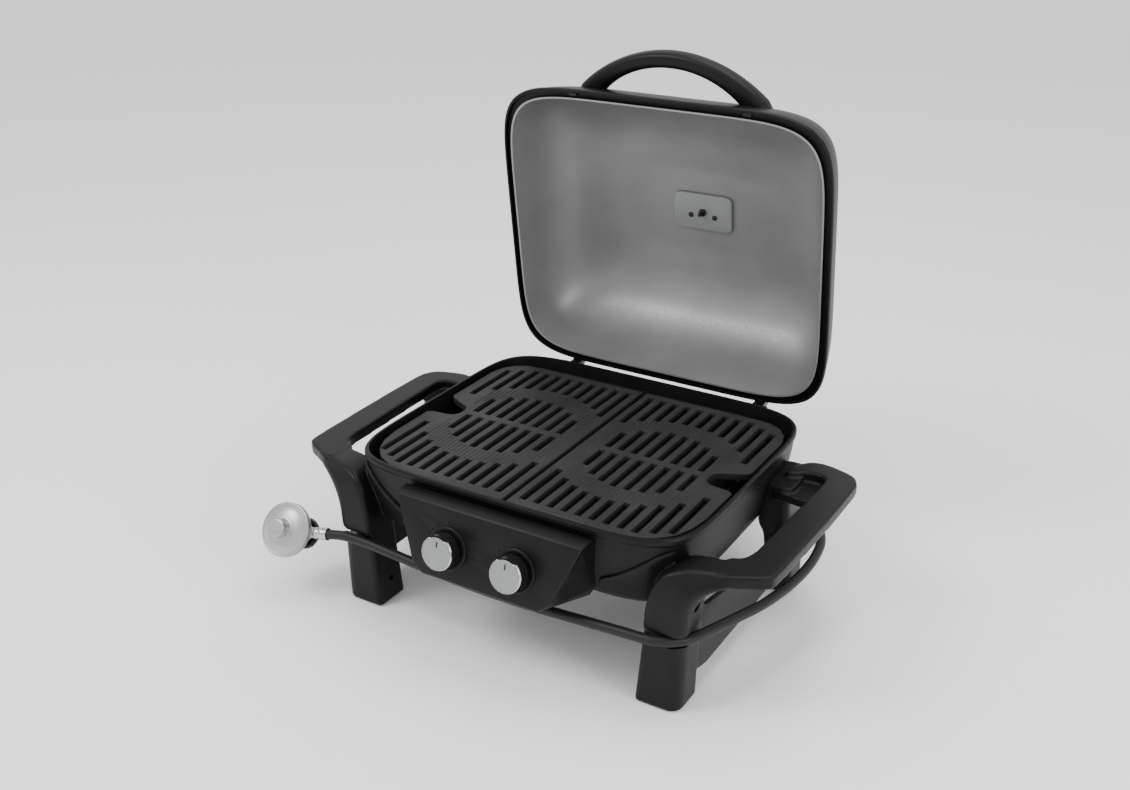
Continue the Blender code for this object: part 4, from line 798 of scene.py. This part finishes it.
def make_cooking_surfaces():
    """The griddle plate, and grates whose ring bands carry fine ridges in line with their bars."""
    moulded("griddle_plate", 0.0016, 5, ENAMEL_IRON)
    for word, side in SIDES:
        bevelled(f"{word}_grate", 0.0011, ENAMEL_IRON, 3)
        ridges = []
        for k in range(RIDGE_COUNT):
            x = RIDGE_FIRST_X + RIDGE_PITCH * k
            off = abs(x - BAND_CENTRE_X)
            if off > RIDGE_REACH:
                continue
            outer = math.sqrt(BAND_OUTER ** 2 - off ** 2)
            inner = math.sqrt(max(0.0, BAND_INNER ** 2 - off ** 2))
            spans = ((-outer, -inner), (inner, outer)) if inner > 0.0150 else ((-outer, outer),)
            for a, b in spans:
                if b - a > 0.0060 and x < RIDGE_LAST_X:
                    ridges.append(sweep("ridge", [(side * x, y, RIDGE_Z) for y in (a, b)], RIDGE_RADIUS, 8))
        detail(f"{word}_grate_ridges", joined("ridges", ridges), ENAMEL_IRON, f"{word}_grate")


# ---- burners and gas line ----

# a small gloss-black disc on the tube: painted shade standing for the dark inside of one port hole
def port_shade(x, y, z):
    return turned("port_shade", (x, y, z), (0, 0, 1), ((0.0, 0.0011), (0.0011, 0.0011)), 12)


def make_burner(word, side):
    """A loop burner with its igniter, black discs of painted shade where its port holes are, and that side's
    posts, tray rail and hinge pin.
    """
    x, y, z = side * BURNER_X, -0.0120, BURNER_Z
    half_x, half_y, bend, radius = 0.0490, 0.0780, 0.0300, 0.0068
    loop = []
    for sx, sy, start in ((1, 1, 0), (-1, 1, 90), (-1, -1, 180), (1, -1, 270)):
        for k in range(13):
            angle = math.radians(start + 90 * k / 12)
            loop.append((x + sx * (half_x - bend) + bend * math.cos(angle),
                         y + sy * (half_y - bend) + bend * math.sin(angle), z))
    tube = sweep("loop", loop, radius, 28, closed=True)
    inlet = turned("inlet", (side * BURNER_INLET_X, -0.2005, z), (0, 1, 0),
                   ((0.0, 0.0074), (0.0300, 0.0074), (0.0450, 0.0062), (0.1400, 0.0062)), 28)
    foot = box_mesh("foot", (x - 0.0080, y + half_y - 0.0020, 0.1159), (x + 0.0080, y + half_y + 0.0020, z))
    body = remeshed("burner", joined("burner", [tube, inlet, foot]), 0.0012, 3)
    stand_for(f"{word}_burner", body, STAINLESS, 60.0)
    spacing, port_z = 0.0100, z + radius - 0.0009
    # the port holes are not cut: gloss-black discs on the tube's top paint their shade
    port_shades = [port_shade(x + sx * half_x, y - 0.0450 + spacing * k, port_z) for sx in (-1, 1) for k in range(10)]
    port_shades += [port_shade(x - 0.0150 + spacing * k, y + sy * half_y, port_z) for sy in (-1, 1) for k in range(4)]
    detail(f"{word}_burner_port_shades", joined("port_shades", port_shades), GLOSS_BLACK, f"{word}_burner")
    tip = softened(((0.0, 0.0060), (0.0040, 0.0060), (0.0045, 0.0036), (0.0100, 0.0036), (0.0105, 0.0030),
                    (0.0130, 0.0030), (0.0135, 0.0036), (0.0240, 0.0036), (0.0260, 0.0012),
                    (0.0330, 0.0012)), 0.0004)
    igniter = turned("igniter", (side * 0.0300, -0.0780, 0.1158), (0, 0, 1), tip, 32)
    stand_for(f"{word}_igniter", igniter, CERAMIC)
    for place in ("front", "rear"):
        bevelled(f"{word}_{place}_post", 0.0005, SHEET_BLACK)
    bevelled(f"{word}_tray_rail", 0.0003, SHEET_BLACK)
    pin = softened(((0.0, 0.0010), (0.0, 0.0052), (0.0040, 0.0052), (0.0040, 0.0030), (0.0385, 0.0030),
                    (0.0385, 0.0010)), 0.0004)
    shank = turned("pin", (side * 0.1500 - side * 0.0205, PIN.y, PIN.z), (side, 0, 0), pin, 32)
    stand_for(f"{word}_hinge_pin", shank, PLATED)


def make_gas_line():
    """The grate rests, the gas line up to the hose, the drip tray and the regulator's bracket."""
    bevelled("front_grate_rest", 0.0008, SHEET_BLACK)
    bevelled("rear_grate_rest", 0.0008, SHEET_BLACK)
    pipe = softened(((0.0, 0.0010), (0.0, 0.0060), (0.1680, 0.0060), (0.1680, 0.0010)), 0.0008)
    stand_for("gas_manifold", turned("manifold", (-0.0720, -0.2140, 0.1745), (1, 0, 0), pipe, 32), PLATED)
    moulded("gas_feed_pipe", 0.0009, 4, PLATED)
    bevelled("gas_inlet_elbow", 0.0008, BRASS)
    moulded("drip_tray", 0.0008, 3, SHEET_BLACK)
    moulded("regulator_bracket", 0.0008, 4, MOULDED)


# ---- hose and regulator ----

def make_hose():
    """The hose as one curve, and its length."""
    line = bpy.data.curves.new("gas_hose_line", "CURVE")
    line.dimensions = "3D"
    line.bevel_depth = HOSE_RADIUS
    line.bevel_resolution = 6
    line.use_fill_caps = True
    points = curve_through(HOSE_ROUTE, 10)
    spline = line.splines.new("POLY")
    spline.points.add(len(points) - 1)
    for slot, point in zip(spline.points, points):
        slot.co = (*(Vector(point) + SHIFT), 1.0)
    line.materials.append(RUBBER)
    hose = bpy.data.objects.new("gas_hose_tube", line)
    bpy.context.scene.collection.objects.link(hose)
    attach(hose, "base")
    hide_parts("gas_hose")
    length = sum((Vector(b) - Vector(a)).length for a, b in zip(points, points[1:]))
    return hose, length


def make_regulator():
    """The pieces at the hose's far end: ferrule, regulator and the nut that screws to a cylinder."""
    end = Vector(HOSE_ROUTE[-1])
    out = (Vector(HOSE_ROUTE[-2]) - end).normalized()
    ferrule = softened(((0.0003, 0.0060), (0.0003, 0.0084), (0.0020, 0.0086), (0.0022, 0.0080),
                        (0.0055, 0.0080), (0.0057, 0.0086), (0.0120, 0.0086), (0.0125, 0.0066),
                        (0.0150, 0.0066), (0.0152, 0.0076), (0.0198, 0.0076), (0.0200, 0.0040)), 0.0004)
    pieces = [stand_for("hose_ferrule", turned("ferrule", end, -out, ferrule, 48), CHROME, 30.0)]
    neck = end - out * 0.0206
    face = (REGULATOR_FACE - out * REGULATOR_FACE.dot(out)).normalized()
    centre = neck - out * 0.0400 + face * 0.0130
    base = softened(((0.0, 0.0100), (0.0, 0.0368), (0.0012, 0.0370), (0.0038, 0.0370), (0.0046, 0.0356),
                     (0.0060, 0.0330), (0.0085, 0.0285), (0.0120, 0.0230), (0.0160, 0.0206), (0.0260, 0.0190),
                     (0.0300, 0.0120), (0.0300, 0.0020)), 0.0008)
    boss = softened(((0.0, 0.0088), (0.0220, 0.0088), (0.0230, 0.0104), (0.0290, 0.0104), (0.0310, 0.0070),
                     (0.0397, 0.0070), (0.0397, 0.0030)), 0.0006)
    body = cut(turned("base", centre - face * 0.0030, -face, base, 96),
               [turned("boss", centre - face * 0.0130, out, boss, 48)], "UNION")
    pieces.append(stand_for("regulator_base", body, BEAD_BLAST, 30.0))
    cover = softened(((0.0, 0.0100), (0.0, 0.0370), (0.0026, 0.0370), (0.0034, 0.0362), (0.0036, 0.0346),
                      (0.0030, 0.0338), (0.0040, 0.0326), (0.0062, 0.0290), (0.0084, 0.0240),
                      (0.0098, 0.0180), (0.0104, 0.0142), (0.0110, 0.0134), (0.0236, 0.0126),
                      (0.0250, 0.0116), (0.0254, 0.0100), (0.0255, 0.0020)), 0.0007)
    dome = turned("cover", centre - face * 0.0027, face, cover, 96)
    pieces.append(stand_for("regulator_cover", dome, BEAD_BLAST, 30.0))
    nut = softened(((0.0, 0.0030), (0.0, 0.0125), (0.0020, 0.0176), (0.0035, 0.0180), (0.0225, 0.0180),
                    (0.0240, 0.0176), (0.0260, 0.0160), (0.0260, 0.0100), (0.0140, 0.0100), (0.0140, 0.0010)),
                   0.0007)
    grip = turned("nut", centre - face * 0.0333, -face, nut, 144, flute=(12, 0.06))
    pieces.append(stand_for("coupling_nut", grip, GLOSS_BLACK, 40.0))
    return pieces


def make_elbow_sleeve():
    """The crimped sleeve where the hose leaves its inlet."""
    start = Vector(HOSE_ROUTE[0])
    along = (Vector(HOSE_ROUTE[1]) - start).normalized()
    sleeve = softened(((0.0, 0.0067), (0.0, 0.0082), (0.0030, 0.0086), (0.0060, 0.0082), (0.0090, 0.0086),
                       (0.0120, 0.0082), (0.0180, 0.0080), (0.0200, 0.0070), (0.0200, 0.0067)), 0.0004)
    collar = turned("sleeve", start, along, sleeve, 48, closed=True)
    return detail("hose_sleeve", collar, CHROME, "hose_ferrule")


make_camera()
make_studio()
hose_tube, hose_length = make_hose()
on_hose = [*make_regulator(), make_elbow_sleeve()]
make_firebox()
make_lid()
make_lid_handle()
make_lid_fittings()
make_panel()
make_cooking_surfaces()
make_gas_line()
for side_word, side_sign in SIDES:
    make_side_frame(side_word, side_sign)
    make_knob(side_word, side_sign)
    make_burner(side_word, side_sign)
